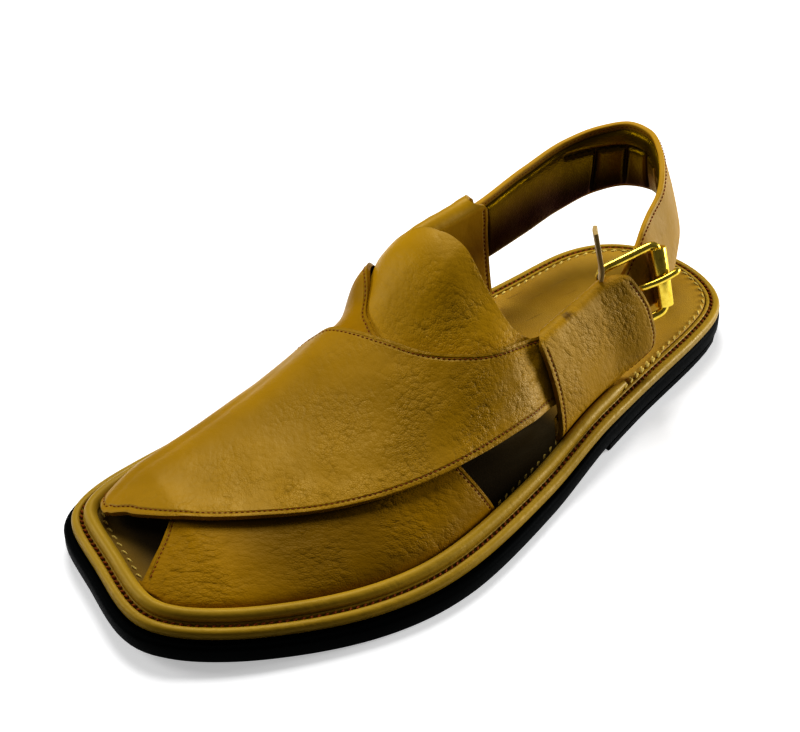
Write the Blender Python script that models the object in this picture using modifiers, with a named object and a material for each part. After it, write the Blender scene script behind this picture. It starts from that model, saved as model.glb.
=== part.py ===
"""Left peshawari chappal: a slingback sandal with a crossed leather upper on a welted rubber sole.

Toe towards -Y, outer (buckle) side +X, +Z up. The origin is on the ground under the heel.
Run it with: blender --background --python part.py
"""
import math

import bmesh
import bpy
import numpy as np

MM = 0.001

# Driving dimensions, in millimetres
WELT_LENGTH = 286.5      # heel back to the tip of the toe, along the tan welt
BALL_WIDTH = 118.5       # welt across the ball of the foot
HEEL_BACK = 35.0         # welt's heel back behind the origin
INSTEP_RISE = 64.0       # ridge of the upper over the insole, at the instep
LEATHER = 1.9            # wall of the upper
FIT = 0.3                # gap between neighbouring pieces

SOLE_THICK = 7.0
HEEL_RISE = 4.0          # the sole's underside over the ground at the heel
TOE_SPRING = 3.6
FLARE_TOE = 3.3          # outsole past the welt, at toe and ball
FLARE_HEEL = 0.8
FLARE_SPAN = (40.0, 150.0)  # towards the toe from the origin, where one flare changes into the other
HEEL_BREAST = -64.0      # y of the heel block's straight front
FOREFOOT_FLAT = (-185.0, -105.0)
HEEL_START = -64.0       # from here back the underside is level again
WELT_THICK = 4.1
INSOLE_THICK = 2.4
INSOLE_INSET = 5.6       # insole's edge inside the welt's edge
BEAD_INSET = 6.4         # centre line of the rolled bead inside the welt's edge
BEAD_WIDTH = 4.8
BEAD_HEIGHT = 3.0
BEAD_END = -46.0         # y of both its ends
FOOT_INSET = 9.4         # where the upper stands, inside the welt's edge

STRAP_THICK = 2.2
STRAP_CAMBER = 0.6       # its middle bows out of the line between its edges
LINING_THICK = 3.0
LINING_TRIM = 1.4        # the lining's edge inside the strap's edge
LINING_ROWS = (2.3, 9)   # rows of the strap's edges where it starts, and ends, counted from the last
TAB_THICK = 1.8
WIRE_RADIUS = 1.25
ROLLER_RADIUS = 3.0
PRONG_RADIUS = 1.05
SLOT_PLAY = 0.45         # gap round the prong where it passes through the strap

HALF_POINTS = 46         # points along each half of the sole's outline

# Welt outline: along = share of WELT_LENGTH from the heel back, out = share of BALL_WIDTH
OUTER_SIDE = [  # along, out
    (0.000, 0.000),
    (0.031, 0.219),
    (0.105, 0.312),
    (0.209, 0.371),
    (0.328, 0.439),
    (0.447, 0.515),
    (0.586, 0.599),
    (0.698, 0.629),
    (0.796, 0.586),
    (0.883, 0.498),
    (0.953, 0.397),
    (1.005, 0.245),
    (0.996, -0.008),
]
INNER_SIDE = [  # along, out
    (0.975, 0.226),
    (0.940, 0.300),
    (0.887, 0.338),
    (0.785, 0.363),
    (0.698, 0.371),
    (0.593, 0.359),
    (0.454, 0.333),
    (0.332, 0.321),
    (0.209, 0.325),
    (0.105, 0.321),
    (0.031, 0.219),
]

# Sections of the form under the upper: ridge_x in mm, rise = share of INSTEP_RISE,
# outer and inner = how square each flank is, flare = how far the inner flank leans out, in mm
FORM_SECTIONS = [  # y, ridge_x, rise, outer, inner, flare
    (-250, -8, 0.200, 0.80, 0.80, 0.0),
    (-222, -10, 0.205, 0.90, 0.80, 0.0),
    (-200, -10, 0.258, 1.00, 0.80, 0.0),
    (-165, -10, 0.412, 1.10, 0.80, 0.0),
    (-130, -10, 0.650, 1.25, 0.70, 2.0),
    (-95, -11, 0.980, 1.35, 0.55, 6.0),
    (-65, -11, 0.985, 1.35, 0.45, 7.5),
    (-40, -10, 1.040, 1.30, 0.40, 7.0),
    (-22, -10, 1.045, 1.30, 0.40, 6.0),
]

# Panels: station runs across the foot, turn is 0 at the outer foot line, 0.5 on the ridge, 1 at the inner
OVER_PANEL = [  # station, front_y, front_turn, rear_y, rear_turn
    (0.00, -226, 0.998, -152, 0.998),
    (0.08, -231, 0.900, -149, 0.880),
    (0.16, -234.5, 0.800, -144, 0.775),
    (0.23, -236.3, 0.700, -139, 0.680),
    (0.29, -235.8, 0.640, -136.6, 0.610),
    (0.37, -234.7, 0.560, -134.6, 0.526),
    (0.41, -232.4, 0.504, -133.0, 0.488),
    (0.45, -228.8, 0.466, -131.4, 0.455),
    (0.53, -219, 0.396, -128.4, 0.410),
    (0.63, -192, 0.295, -124, 0.355),
    (0.74, -160, 0.213, -116.2, 0.298),
    (0.86, -124, 0.139, -104, 0.243),
    (1.00, -80, 0.068, -80, 0.192),
]
UNDER_PANEL = [  # station, front_y, front_turn, rear_y, rear_turn
    (0.00, -240.5, 0.000, -128, 0.000),
    (0.10, -242.6, 0.110, -132, 0.070),
    (0.19, -243.2, 0.210, -135, 0.140),
    (0.27, -242.3, 0.290, -137, 0.200),
    (0.36, -238.3, 0.349, -138, 0.280),
    (0.45, -232.0, 0.394, -136, 0.360),
    (0.54, -225.0, 0.432, -130.5, 0.445),
    (0.66, -206.0, 0.510, -125.5, 0.535),
    (0.79, -185.0, 0.640, -112.0, 0.655),
    (0.90, -166.0, 0.840, -101.5, 0.790),
    (1.00, -150, 0.994, -94, 0.994),
]
TONGUE = [  # station, front_y, front_turn, rear_y, rear_turn
    (0.00, -106, 0.180, -80, 0.178),
    (0.15, -122, 0.240, -90, 0.235),
    (0.35, -140, 0.330, -92, 0.330),
    (0.50, -148, 0.430, -91, 0.420),
    (0.65, -148, 0.530, -94, 0.520),
    (0.80, -138, 0.640, -100, 0.610),
    (1.00, -125, 0.720, -106, 0.690),
]
OVER_DEPTH = 0.0         # outer faces of the layers, inside the form's surface
UNDER_DEPTH = 2.6
TONGUE_DEPTH = 4.0
TONGUE_LIFT = 5.2        # rise of the tongue's free rear edge
OVER_STANDOFF = 1.3      # lift of the over panel's free edge
OVER_SWELL = 1.3         # lift of the over panel on the inner side, where it covers the under panel
OVER_TUCK = 2.1          # dip of each layer inside the outer ear
TONGUE_TUCK = 1.3
BARE_RISE = 1.6          # share of UNDER_DEPTH by which the under panel rises where nothing covers it
SHOULDER = 2.0           # lift of its rear edge beside the tongue
ROW_SPREAD = 1.4         # rows of a panel gather towards its front edge

# Where a change starts, and its length: along y in mm, round the form in turn, or across a panel in share
JOINED = (0.66, 0.10)
FREE_EDGE = (0.30, -0.30)
INNER_END = (0.98, -0.10)
TUCK_ALONG = (-102.0, 15.0)
TUCK_ROUND = (0.30, -0.10)
UNDER_FOOT = (0.015, 0.20)
UNDER_TOE = (-244.0, 22.0)
BARE_ALONG = (-130.0, 15.0)
BARE_ROUND = (0.55, 0.15)
SHOULDER_ALONG = (-126.0, 14.0)
SHOULDER_ROUND = (0.52, 0.08)
SHOULDER_END = (0.90, -0.12)
TONGUE_FREE = (0.28, 0.60)
TONGUE_OUTER = (0.30, 0.12)
TONGUE_INNER = (0.73, -0.08)
EAR_FOOT = 0.12          # share of an ear's height over which its foot spreads inwards
EAR_SWELL = 0.25         # and over which its bulge grows
EAR_HALF = 3.9           # half of an ear loop's thickness
EAR_DEPTH = 2.4          # middle of an ear loop, inside the form's surface
OUTER_EAR_TOP = 0.205    # turn at its top fold
INNER_EAR_TOP = 0.670
OUTER_EAR_FRONT = -87.0  # y of its front opening
INNER_EAR_FRONT = -102.0
OUTER_EAR_REAR = [  # height, outer_y, inner_y
    (0.00, -45.0, -50.0),
    (0.08, -38.5, -48.0),
    (0.20, -30.8, -47.0),
    (0.32, -29.6, -46.0),
    (0.60, -32.0, -46.0),
    (0.80, -35.5, -48.0),
    (1.00, -39.5, -50.0),
]
INNER_EAR_REAR = [  # height, outer_y, inner_y
    (0.00, -53.0, -53.0),
    (0.40, -53.0, -53.0),
    (0.75, -55.0, -55.0),
    (1.00, -61.0, -61.0),
]
TOE_LINE = (-241.4, -0.135)  # y of the form's toe end on the axis, and its change with x
TOE_ROUND = 22.0         # length over which the form rises from its toe end
TOE_EDGE = 0.28          # share of the rise left at the very end
TOE_POWER = 1.3          # how square the form's toe end is
BUCKLE_BULGE = 4.9       # the outer ear's outer wall swells by this over the buckle
BUCKLE_SPAN = (-53.0, 21.0)
INNER_BULGE = 1.2        # and the inner ear's over the strap
INNER_SPAN = (-75.0, 20.0)

# Back strap between the ears: its upper and lower edges
STRAP_LOOP = [  # top_x, top_y, top_z, foot_x, foot_y, foot_z
    (-37.0, -26, 66.8, -37.5, -24, 35.2),
    (-38.5, -3, 69.8, -39.5, -3, 37.0),
    (-34.0, 12, 72.8, -36.0, 13, 41.0),
    (-25.5, 20, 75.6, -28.0, 23, 44.4),
    (-15.0, 20, 76.4, -17.0, 27, 46.2),
    (-3.0, 13, 75.8, -2.0, 23, 46.5),
    (7.0, 4, 73.4, 11.0, 13, 45.0),
    (12.5, -3, 70.0, 20.0, 2, 42.5),
    (17.5, -14.0, 66.5, 27.5, -9, 39.5),
    (21.3, -21.5, 63.6, 32.6, -20.5, 38.1),
    (23.4, -26.0, 60.0, 33.2, -26.2, 37.6),
    (24.7, -30.4, 56.8, 33.8, -31.6, 37.0),
]

# Buckle frame plane, through the hinge bar and the roller's axis
HINGE_TOP = np.array((22.8, -43.3, 53.5))
HINGE_FOOT = np.array((31.5, -43.5, 33.0))
ROLLER_TOP = np.array((29.5, -21.0, 60.0))
ROLLER_FOOT = np.array((37.5, -22.0, 39.0))
STRAP_IN_FRAME = (0.13, 0.97)  # its two edges, as heights down the frame
STRAP_THROUGH = [  # share from hinge to roller, height outside the frame's plane
    (0.32, 1.2),
    (0.00, 2.7),
]
STRAP_IN_EAR = [  # y, top_turn, foot_turn
    (-53, 0.168, 0.078),
    (-64, 0.165, 0.075),
    (-75, 0.163, 0.073),
]
STRAP_IN_INNER_EAR = [  # y, top_turn, foot_turn
    (-90, 0.724, 0.895),
    (-76, 0.722, 0.895),
    (-62, 0.720, 0.895),
]

MATERIALS = {  # name: base colour, roughness, metallic
    "leather_tan": ((0.36, 0.18, 0.025), 0.50, 0.0),
    "leather_insole": ((0.34, 0.17, 0.03), 0.55, 0.0),
    "leather_strap": ((0.42, 0.24, 0.06), 0.50, 0.0),
    "lining_brown": ((0.06, 0.035, 0.008), 0.30, 0.0),
    "rubber_black": ((0.008, 0.012, 0.013), 0.50, 0.0),
    "brass": ((0.80, 0.55, 0.12), 0.20, 1.0),
}


# ---------------------------------------------------------------- scene helpers
def clear_scene():
    for item in list(bpy.data.objects):
        bpy.data.objects.remove(item, do_unlink=True)


def new_collection(name):
    group = bpy.data.collections.new(name)
    bpy.context.scene.collection.children.link(group)
    return group


def get_material(name):
    material = bpy.data.materials.get(name)
    if material is None:
        colour, roughness, metallic = MATERIALS[name]
        material = bpy.data.materials.new(name)
        material.use_nodes = True
        shader = material.node_tree.nodes["Principled BSDF"]
        shader.inputs["Base Color"].default_value = (*colour, 1.0)
        shader.inputs["Roughness"].default_value = roughness
        shader.inputs["Metallic"].default_value = metallic
        material.diffuse_color = (*colour, 1.0)
    return material


def add_object(name, mesh, group, material=None):
    item = bpy.data.objects.new(name, mesh)
    group.objects.link(item)
    if material is not None:
        mesh.materials.append(get_material(material))
    return item


def hide_helper(item):
    item.hide_render = True
    item.display_type = "WIRE"


def mesh_from(name, points, faces):
    """A mesh from points in millimetres."""
    mesh = bpy.data.meshes.new(name)
    mesh.from_pydata((np.asarray(points, float) * MM).tolist(), [], faces)
    mesh.update()
    return mesh


def smooth(mesh, angle=40.0):
    mesh.shade_smooth()
    mesh.set_sharp_from_angle(angle=math.radians(angle))


def face_outwards(mesh):
    work = bmesh.new()
    work.from_mesh(mesh)
    bmesh.ops.recalc_face_normals(work, faces=work.faces)
    work.to_mesh(mesh)
    work.free()


# ---------------------------------------------------------------- curves and the sole's outline
def ease(value):
    value = np.clip(value, 0.0, 1.0)
    return value * value * (3.0 - 2.0 * value)


def change(value, span):
    """A soft step from 0 to 1 that starts at span[0] and takes span[1], which may run backwards."""
    start, length = span
    return ease((value - start) / length)


def column(table, index):
    return np.array([row[index] for row in table], float)


def curve_slopes(knots, values):
    """Slopes of a smooth curve through the values, one for each knot."""
    return np.gradient(values, knots, axis=0)


def read_curve(knots, values, where):
    """Cubic Hermite curve through values at knots, read at where."""
    knots = np.asarray(knots, float)
    values = np.asarray(values, float)
    where = np.asarray(where, float)
    slopes = curve_slopes(knots, values)
    low = np.clip(np.searchsorted(knots, where, side="right") - 1, 0, len(knots) - 2)
    step = knots[low + 1] - knots[low]
    part = (where - knots[low]) / step
    if values.ndim > 1:
        part = part[..., None]
        step = step[..., None]
    square = part * part
    cube = square * part
    start = (2 * cube - 3 * square + 1) * values[low] + (cube - 2 * square + part) * step * slopes[low]
    end = (3 * square - 2 * cube) * values[low + 1] + (cube - square) * step * slopes[low + 1]
    return start + end


def closed_curve(points, per_span):
    """Smooth closed curve through points, knots spaced by the root of the chord."""
    points = np.asarray(points, float)
    count = len(points)
    chord = np.linalg.norm(np.roll(points, -1, 0) - points, axis=1) ** 0.5
    matrix = np.zeros((count, count))
    right = np.zeros((count, points.shape[1]))
    for i in range(count):
        before = chord[i - 1]
        after = chord[i]
        nxt = (i + 1) % count
        matrix[i, i - 1] = 1 / before
        matrix[i, i] = 2 / before + 2 / after
        matrix[i, nxt] = 1 / after
        right[i] = 3 * (points[i] - points[i - 1]) / before**2 + 3 * (points[nxt] - points[i]) / after**2
    slopes = np.linalg.solve(matrix, right)
    result = []
    for i in range(count):
        nxt = (i + 1) % count
        for t in np.arange(per_span) / per_span:
            start = (2 * t**3 - 3 * t**2 + 1) * points[i] + (t**3 - 2 * t**2 + t) * chord[i] * slopes[i]
            end = (3 * t**2 - 2 * t**3) * points[nxt] + (t**3 - t**2) * chord[i] * slopes[nxt]
            result.append(start + end)
    return np.array(result)


def resample(points, count):
    """Evenly spaced points along an open line, ends included."""
    steps = np.linalg.norm(np.diff(points, axis=0), axis=1)
    travel = np.concatenate(([0.0], np.cumsum(steps)))
    marks = np.linspace(0.0, travel[-1], count)
    return np.stack([np.interp(marks, travel, points[:, k]) for k in range(points.shape[1])], axis=1)


def welt_outline():
    """The welt's edge: heel back, outer side, toe, inner side; both halves have the same number of points."""
    rows = [(out * BALL_WIDTH, HEEL_BACK - along * WELT_LENGTH) for along, out in OUTER_SIDE]
    rows += [(-out * BALL_WIDTH, HEEL_BACK - along * WELT_LENGTH) for along, out in INNER_SIDE]
    per_span = 24
    dense = closed_curve(rows, per_span)
    toe = per_span * (len(OUTER_SIDE) - 1)
    outer = resample(dense[: toe + 1], HALF_POINTS + 1)
    inner = resample(np.vstack([dense[toe:], dense[:1]]), HALF_POINTS + 1)
    return np.vstack([outer[:-1], inner[:-1]])


def inset(outline, distance):
    """The outline moved inwards by a distance, one value or one for each point."""
    run = np.roll(outline, -1, 0) - np.roll(outline, 1, 0)
    normal = np.stack([-run[:, 1], run[:, 0]], axis=1)
    normal /= np.linalg.norm(normal, axis=1)[:, None]
    if np.sum(normal * (outline - outline.mean(axis=0))) > 0:
        normal = -normal
    return outline + normal * np.reshape(distance, (-1, 1))


def sole_lift(y):
    """Height of the outsole's underside over the ground."""
    y = np.asarray(y, float)
    front, back = FOREFOOT_FLAT
    heel = HEEL_RISE * ease((y - back) / (HEEL_START - back))
    toe_end = HEEL_BACK - WELT_LENGTH
    toe = TOE_SPRING * np.clip((front - y) / (front - toe_end), 0.0, 1.0) ** 2
    return heel + toe


WELT = welt_outline()
OUTSOLE = inset(WELT, -np.interp(-WELT[:, 1], FLARE_SPAN, (FLARE_HEEL, FLARE_TOE)))
WELT_BASE = SOLE_THICK + FIT
WELT_TOP = WELT_BASE + WELT_THICK
FOOTBED = WELT_TOP + FIT


# ---------------------------------------------------------------- lofts
def cap_faces(start, count, upwards):
    """Faces that close a ring of a sole, from one side straight across to the other."""
    faces = []
    last = count - 1
    i = 1
    faces.append((0, 1, last))
    while i + 1 < last - i:
        faces.append((i, i + 1, count - i - 1, count - i))
        i += 1
    if i + 1 == last - i:
        faces.append((i, i + 1, last - i + 1))
    faces = [tuple(start + index for index in face) for face in faces]
    return faces if upwards else [face[::-1] for face in faces]


def band_faces(rows, ring, closed=True):
    faces = []
    for row in range(rows - 1):
        for i in range(ring if closed else ring - 1):
            nxt = (i + 1) % ring
            base = row * ring
            faces.append((base + i, base + nxt, base + ring + nxt, base + ring + i))
    return faces


def loft_plate(name, rings, group, material):
    """A solid through closed rings of equal length, capped across the sole at both ends."""
    count = len(rings[0])
    faces = band_faces(len(rings), count)
    faces += cap_faces(0, count, False)
    faces += cap_faces(count * (len(rings) - 1), count, True)
    mesh = mesh_from(name, np.vstack(rings), faces)
    face_outwards(mesh)
    smooth(mesh)
    return add_object(name, mesh, group, material)


def raised(outline, height):
    """The outline as points at a height over the outsole's underside."""
    return np.column_stack([outline, sole_lift(outline[:, 1]) + height])


# ---------------------------------------------------------------- sole
def build_outsole(group):
    profile = [  # inset, height
        (1.4, 0.0),
        (0.3, 1.0),
        (0.0, 3.0),
        (0.3, 5.8),
        (1.2, SOLE_THICK),
    ]
    rings = [raised(inset(OUTSOLE, edge), height) for edge, height in profile]
    return loft_plate("outsole", rings, group, "rubber_black")


def heel_ring(outline):
    """The part of an outline behind the heel breast, closed by the straight breast."""
    half = HALF_POINTS
    keep = next(i for i in range(half) if outline[i, 1] < HEEL_BREAST)
    outer = outline[: keep + 1].copy()
    inner = outline[2 * half - keep:].copy()
    for end, before in ((outer[-1], outer[-2]), (inner[0], inner[1])):
        share = (HEEL_BREAST - before[1]) / (end[1] - before[1])
        end[:] = before + (end - before) * share
    return np.vstack([outer, inner])


def build_heel_block(group):
    rings = []
    for edge, height in ((1.2, 0.0), (0.5, 0.7), (0.3, None)):
        ring = heel_ring(inset(OUTSOLE, edge))
        top = sole_lift(ring[:, 1]) - FIT
        rings.append(np.column_stack([ring, top if height is None else np.full(len(ring), height)]))
    return loft_plate("heel_block", rings, group, "rubber_black")


def build_welt(group):
    recess = INSOLE_INSET - FIT
    floor = WELT_TOP - INSOLE_THICK - 1.5 * FIT
    profile = [  # inset, height
        (0.4, WELT_BASE),
        (-0.4, WELT_BASE + 1.1),
        (-0.4, WELT_BASE + 2.3),
        (0.3, WELT_TOP - 0.7),
        (1.5, WELT_TOP),
        (2.5, WELT_TOP),
        (2.9, WELT_TOP - 0.9),
        (3.5, WELT_TOP - 0.9),
        (3.9, WELT_TOP),
        (recess, WELT_TOP),
        (recess, floor),
    ]
    rings = [raised(inset(WELT, edge), height) for edge, height in profile]
    return loft_plate("welt", rings, group, "leather_tan")


def build_insole(group):
    base = WELT_TOP - INSOLE_THICK
    profile = [  # inset, height
        (INSOLE_INSET, base),
        (INSOLE_INSET, WELT_TOP - 0.5),
        (INSOLE_INSET + 0.5, WELT_TOP),
    ]
    rings = [raised(inset(WELT, edge), height) for edge, height in profile]
    return loft_plate("insole", rings, group, "leather_insole")


def build_bead(group):
    """The rolled rand: from behind the outer ear, round the toe, to behind the inner ear."""
    path = inset(WELT, BEAD_INSET)
    start = next(i for i in range(HALF_POINTS) if path[i, 1] < BEAD_END)
    stop = next(i for i in range(HALF_POINTS, 2 * HALF_POINTS) if path[i, 1] > BEAD_END)
    path = path[start:stop]
    run = np.gradient(path, axis=0)
    side = np.stack([run[:, 1], -run[:, 0]], axis=1)
    side /= np.linalg.norm(side, axis=1)[:, None]
    section = [  # across, up
        (-0.38, 0.00),
        (0.38, 0.00),
        (0.50, 0.30),
        (0.42, 0.72),
        (0.16, 1.00),
        (-0.16, 1.00),
        (-0.42, 0.72),
        (-0.50, 0.30),
    ]
    rings = []
    for across, up in section:
        line = path + side * across * BEAD_WIDTH
        rings.append(raised(line, 0.0) + (0.0, 0.0, FOOTBED + up * BEAD_HEIGHT))
    points = np.stack(rings, axis=1).reshape(-1, 3)
    ring = len(section)
    faces = band_faces(len(path), ring)
    faces.append(tuple(range(ring)))
    faces.append(tuple(range(len(points) - 1, len(points) - ring - 1, -1)))
    mesh = mesh_from("bead", points, faces)
    face_outwards(mesh)
    smooth(mesh, 60.0)
    return add_object("bead", mesh, group, "leather_tan")


# ---------------------------------------------------------------- the form under the upper
def foot_line(side):
    """The upper's foot line from the toe corner to the heel, on the outer (+1) or inner (-1) side."""
    line = inset(WELT, FOOT_INSET)
    half = line[:HALF_POINTS] if side > 0 else line[:HALF_POINTS:-1]
    corner = int(np.argmin(half[:, 1]))
    flank = half[4: corner + 1]
    return flank[::-1]


OUTER_FOOT = foot_line(+1)
INNER_FOOT = foot_line(-1)


def form_point(y, turn):
    """A point of the form's surface."""
    y, turn = np.broadcast_arrays(np.asarray(y, float), np.asarray(turn, float))
    stations = column(FORM_SECTIONS, 0)
    inside = np.clip(y, stations[0], stations[-1])
    ridge_x = np.interp(y, stations, column(FORM_SECTIONS, 1))
    rise = read_curve(stations, column(FORM_SECTIONS, 2), inside) * INSTEP_RISE
    outer_power = np.interp(y, stations, column(FORM_SECTIONS, 3))
    inner_power = np.interp(y, stations, column(FORM_SECTIONS, 4))
    flare = np.interp(y, stations, column(FORM_SECTIONS, 5))
    outer_x = np.interp(y, OUTER_FOOT[:, 1], OUTER_FOOT[:, 0])
    inner_x = np.interp(y, INNER_FOOT[:, 1], INNER_FOOT[:, 0])
    angle = np.pi * turn
    width = np.abs(np.cos(angle))
    outer = ridge_x + (outer_x - ridge_x) * width**outer_power
    lean = flare * np.sin(2 * (np.pi - angle))
    inner = ridge_x + (inner_x - ridge_x) * width**inner_power - lean
    x = np.where(turn <= 0.5, outer, inner)
    closing = np.clip((y - TOE_LINE[0] - TOE_LINE[1] * x) / TOE_ROUND, 0.0, 1.0)
    rise = rise * (1.0 - (1.0 - TOE_EDGE) * (1.0 - closing) ** TOE_POWER)
    z = sole_lift(y) + FOOTBED + rise * np.sin(angle)
    return np.stack([x, y, z], axis=-1)


def form_offset(y, turn, depth):
    """A point inside the form's surface by a depth, measured square to the surface."""
    y, turn, depth = np.broadcast_arrays(np.asarray(y, float), np.asarray(turn, float), np.asarray(depth, float))
    step_y, step_turn = 2.0, 0.02
    low = np.clip(turn - step_turn, 0.0, 1.0)
    high = np.clip(turn + step_turn, 0.0, 1.0)
    around = form_point(y, high) - form_point(y, low)
    along = form_point(y + step_y, turn) - form_point(y - step_y, turn)
    normal = np.cross(around, along)
    normal /= np.linalg.norm(normal, axis=-1)[..., None]
    foot = np.minimum(turn, 1.0 - turn)
    level = 1.0 - ease(foot / 0.05)
    normal[..., 2] *= 1.0 - level
    normal /= np.linalg.norm(normal, axis=-1)[..., None]
    return form_point(y, turn) + normal * depth[..., None]


# ---------------------------------------------------------------- upper
def panel_grid(table, across, along):
    """y and turn over a panel; rows run from its front edge to its rear edge."""
    marks = np.concatenate(((0.0, 0.02), np.linspace(0.02, 1.0, across - 1)[1:]))
    knots = column(table, 0)
    front_y, front_turn, rear_y, rear_turn = (read_curve(knots, column(table, k), marks) for k in (1, 2, 3, 4))
    share = np.linspace(0.0, 1.0, along)[:, None] ** ROW_SPREAD
    y = front_y + (rear_y - front_y) * share
    turn = np.clip(front_turn + (rear_turn - front_turn) * share, 0.0, 1.0)
    return y, turn, share


def sheet(name, points, group, thickness=LEATHER):
    """A leather sheet from a grid of points on its outer face, with a Solidify wall going inwards."""
    rows, count = points.shape[:2]
    faces = band_faces(rows, count, closed=False)
    mesh = mesh_from(name, points.reshape(-1, 3), faces)
    item = add_object(name, mesh, group)
    wall = item.modifiers.new("wall", "SOLIDIFY")
    wall.thickness = thickness * MM
    wall.offset = -1.0
    return item


def tuck(y, turn):
    """How far a layer dips to pass inside the outer ear."""
    return change(y, TUCK_ALONG) * change(turn, TUCK_ROUND)


def over_panel(group):
    y, turn, share = panel_grid(OVER_PANEL, 31, 11)
    joined = change(turn, JOINED)
    free = (1.0 - joined) * change(share, FREE_EDGE)
    swell = OVER_SWELL * joined * change(turn, INNER_END)
    depth = OVER_DEPTH - swell - OVER_STANDOFF * free + OVER_TUCK * tuck(y, turn)
    return sheet("over_panel", form_offset(y, turn, depth), group)


def under_panel(group):
    y, turn, _ = panel_grid(UNDER_PANEL, 29, 11)
    bare = change(turn, BARE_ROUND) * change(turn, INNER_END) * change(y, BARE_ALONG)
    shoulder = change(turn, SHOULDER_ROUND) * change(turn, SHOULDER_END) * change(y, SHOULDER_ALONG)
    depth = UNDER_DEPTH * change(turn, UNDER_FOOT) * change(y, UNDER_TOE) * (1.0 - BARE_RISE * bare)
    return sheet("under_panel", form_offset(y, turn, depth - SHOULDER * shoulder)[:, ::-1], group)


def tongue_panel(group):
    y, turn, share = panel_grid(TONGUE, 17, 8)
    free = change(share, TONGUE_FREE) * change(turn, TONGUE_OUTER) * change(turn, TONGUE_INNER)
    depth = TONGUE_DEPTH - TONGUE_LIFT * free + TONGUE_TUCK * tuck(y, turn)
    return sheet("tongue_panel", form_offset(y, turn, depth)[:, ::-1], group)


def ear_skin(foot_turn, top_turn, front, rear_table, bulge, bulge_span, half, margin):
    """Points over one face of an ear's sleeve: rings from its front to its rear."""
    ring = 20
    rows = 9
    angle = np.arange(ring) * 2 * np.pi / ring - np.pi / 2
    level = 0.5 + 0.5 * np.sign(np.sin(angle)) * np.abs(np.sin(angle)) ** 0.8
    height = margin + (1.0 - 2 * margin) * level
    across = np.sign(np.cos(angle)) * np.abs(np.cos(angle)) ** 0.5
    middle = EAR_DEPTH + (1.0 - ease(height / EAR_FOOT)) * (EAR_HALF - EAR_DEPTH)
    turn = foot_turn + (top_turn - foot_turn) * height
    rear_outer, rear_inner = (np.interp(height, column(rear_table, 0), column(rear_table, k)) for k in (1, 2))
    rear = rear_inner + (rear_outer - rear_inner) * (0.5 + 0.5 * across)
    share = np.linspace(0.0, 1.0, rows)[:, None]
    y = front + (rear - front) * share
    swell = bulge * change(y, bulge_span) * np.clip(across, 0.0, 1.0) * ease(height / EAR_SWELL)
    return form_offset(y, turn, middle - across * half - swell)


def ear_loop(name, group, foot_turn, top_turn, front, rear_table, bulge, bulge_span):
    """A sleeve of leather that stands on the insole, open at its front and rear."""
    outside = ear_skin(foot_turn, top_turn, front, rear_table, bulge, bulge_span, EAR_HALF, 0.0)
    inside = ear_skin(foot_turn, top_turn, front, rear_table, bulge, bulge_span, EAR_HALF - LEATHER, 0.05)
    rows, ring = outside.shape[:2]
    total = rows * ring
    faces = band_faces(rows, ring)
    faces += [tuple(total + index for index in face[::-1]) for face in faces]
    for k in range(ring):
        nxt = (k + 1) % ring
        faces.append((nxt, k, total + k, total + nxt))
        rear = total - ring
        faces.append((rear + k, rear + nxt, total + rear + nxt, total + rear + k))
    mesh = mesh_from(name, np.vstack([outside.reshape(-1, 3), inside.reshape(-1, 3)]), faces)
    face_outwards(mesh)
    return add_object(name, mesh, group)


def build_upper(group, helpers):
    """Every strap of the upper as one shell: the panels are united where they cross."""
    over = over_panel(group)
    over.name = "upper"
    over.data.materials.append(get_material("leather_tan"))
    others = [
        under_panel(helpers),
        tongue_panel(helpers),
        ear_loop("outer_ear", helpers, 0.0, OUTER_EAR_TOP, OUTER_EAR_FRONT, OUTER_EAR_REAR,
                 BUCKLE_BULGE, BUCKLE_SPAN),
        ear_loop("inner_ear", helpers, 1.0, INNER_EAR_TOP, INNER_EAR_FRONT, INNER_EAR_REAR,
                 INNER_BULGE, INNER_SPAN),
    ]
    for other in others:
        hide_helper(other)
        join = over.modifiers.new("join_" + other.name, "BOOLEAN")
        join.operation = "UNION"
        join.solver = "EXACT"
        join.object = other
    return over


# ---------------------------------------------------------------- buckle
def frame_point(share, height, lift):
    """A point by the buckle: share from hinge bar to roller, height down the bar, lift outside the plane."""
    top = HINGE_TOP + (ROLLER_TOP - HINGE_TOP) * share
    foot = HINGE_FOOT + (ROLLER_FOOT - HINGE_FOOT) * share
    out = np.cross(HINGE_FOOT - HINGE_TOP, ROLLER_TOP - HINGE_TOP)
    out /= np.linalg.norm(out)
    return top + (foot - top) * height + out * lift


def wire(name, points, radius, group, material, cyclic=False, resolution=2):
    curve = bpy.data.curves.new(name, "CURVE")
    curve.dimensions = "3D"
    curve.bevel_depth = radius * MM
    curve.bevel_resolution = resolution
    curve.use_fill_caps = True
    spline = curve.splines.new("POLY")
    spline.points.add(len(points) - 1)
    for target, point in zip(spline.points, points):
        target.co = (*(np.asarray(point) * MM), 1.0)
    spline.use_cyclic_u = cyclic
    source = bpy.data.objects.new(name + "_curve", curve)
    group.objects.link(source)
    bpy.context.view_layer.update()
    ready = source.evaluated_get(bpy.context.evaluated_depsgraph_get())
    mesh = bpy.data.meshes.new_from_object(ready)
    bpy.data.objects.remove(source, do_unlink=True)
    work = bmesh.new()
    work.from_mesh(mesh)
    bmesh.ops.remove_doubles(work, verts=work.verts, dist=0.00001)
    bmesh.ops.recalc_face_normals(work, faces=work.faces)
    work.to_mesh(mesh)
    work.free()
    mesh.materials.clear()
    smooth(mesh, 50.0)
    return add_object(name, mesh, group, material)


def smooth_path(points, count):
    points = np.asarray(points, float)
    travel = np.concatenate(([0.0], np.cumsum(np.linalg.norm(np.diff(points, axis=0), axis=1))))
    return read_curve(travel, points, np.linspace(0.0, travel[-1], count))


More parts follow.
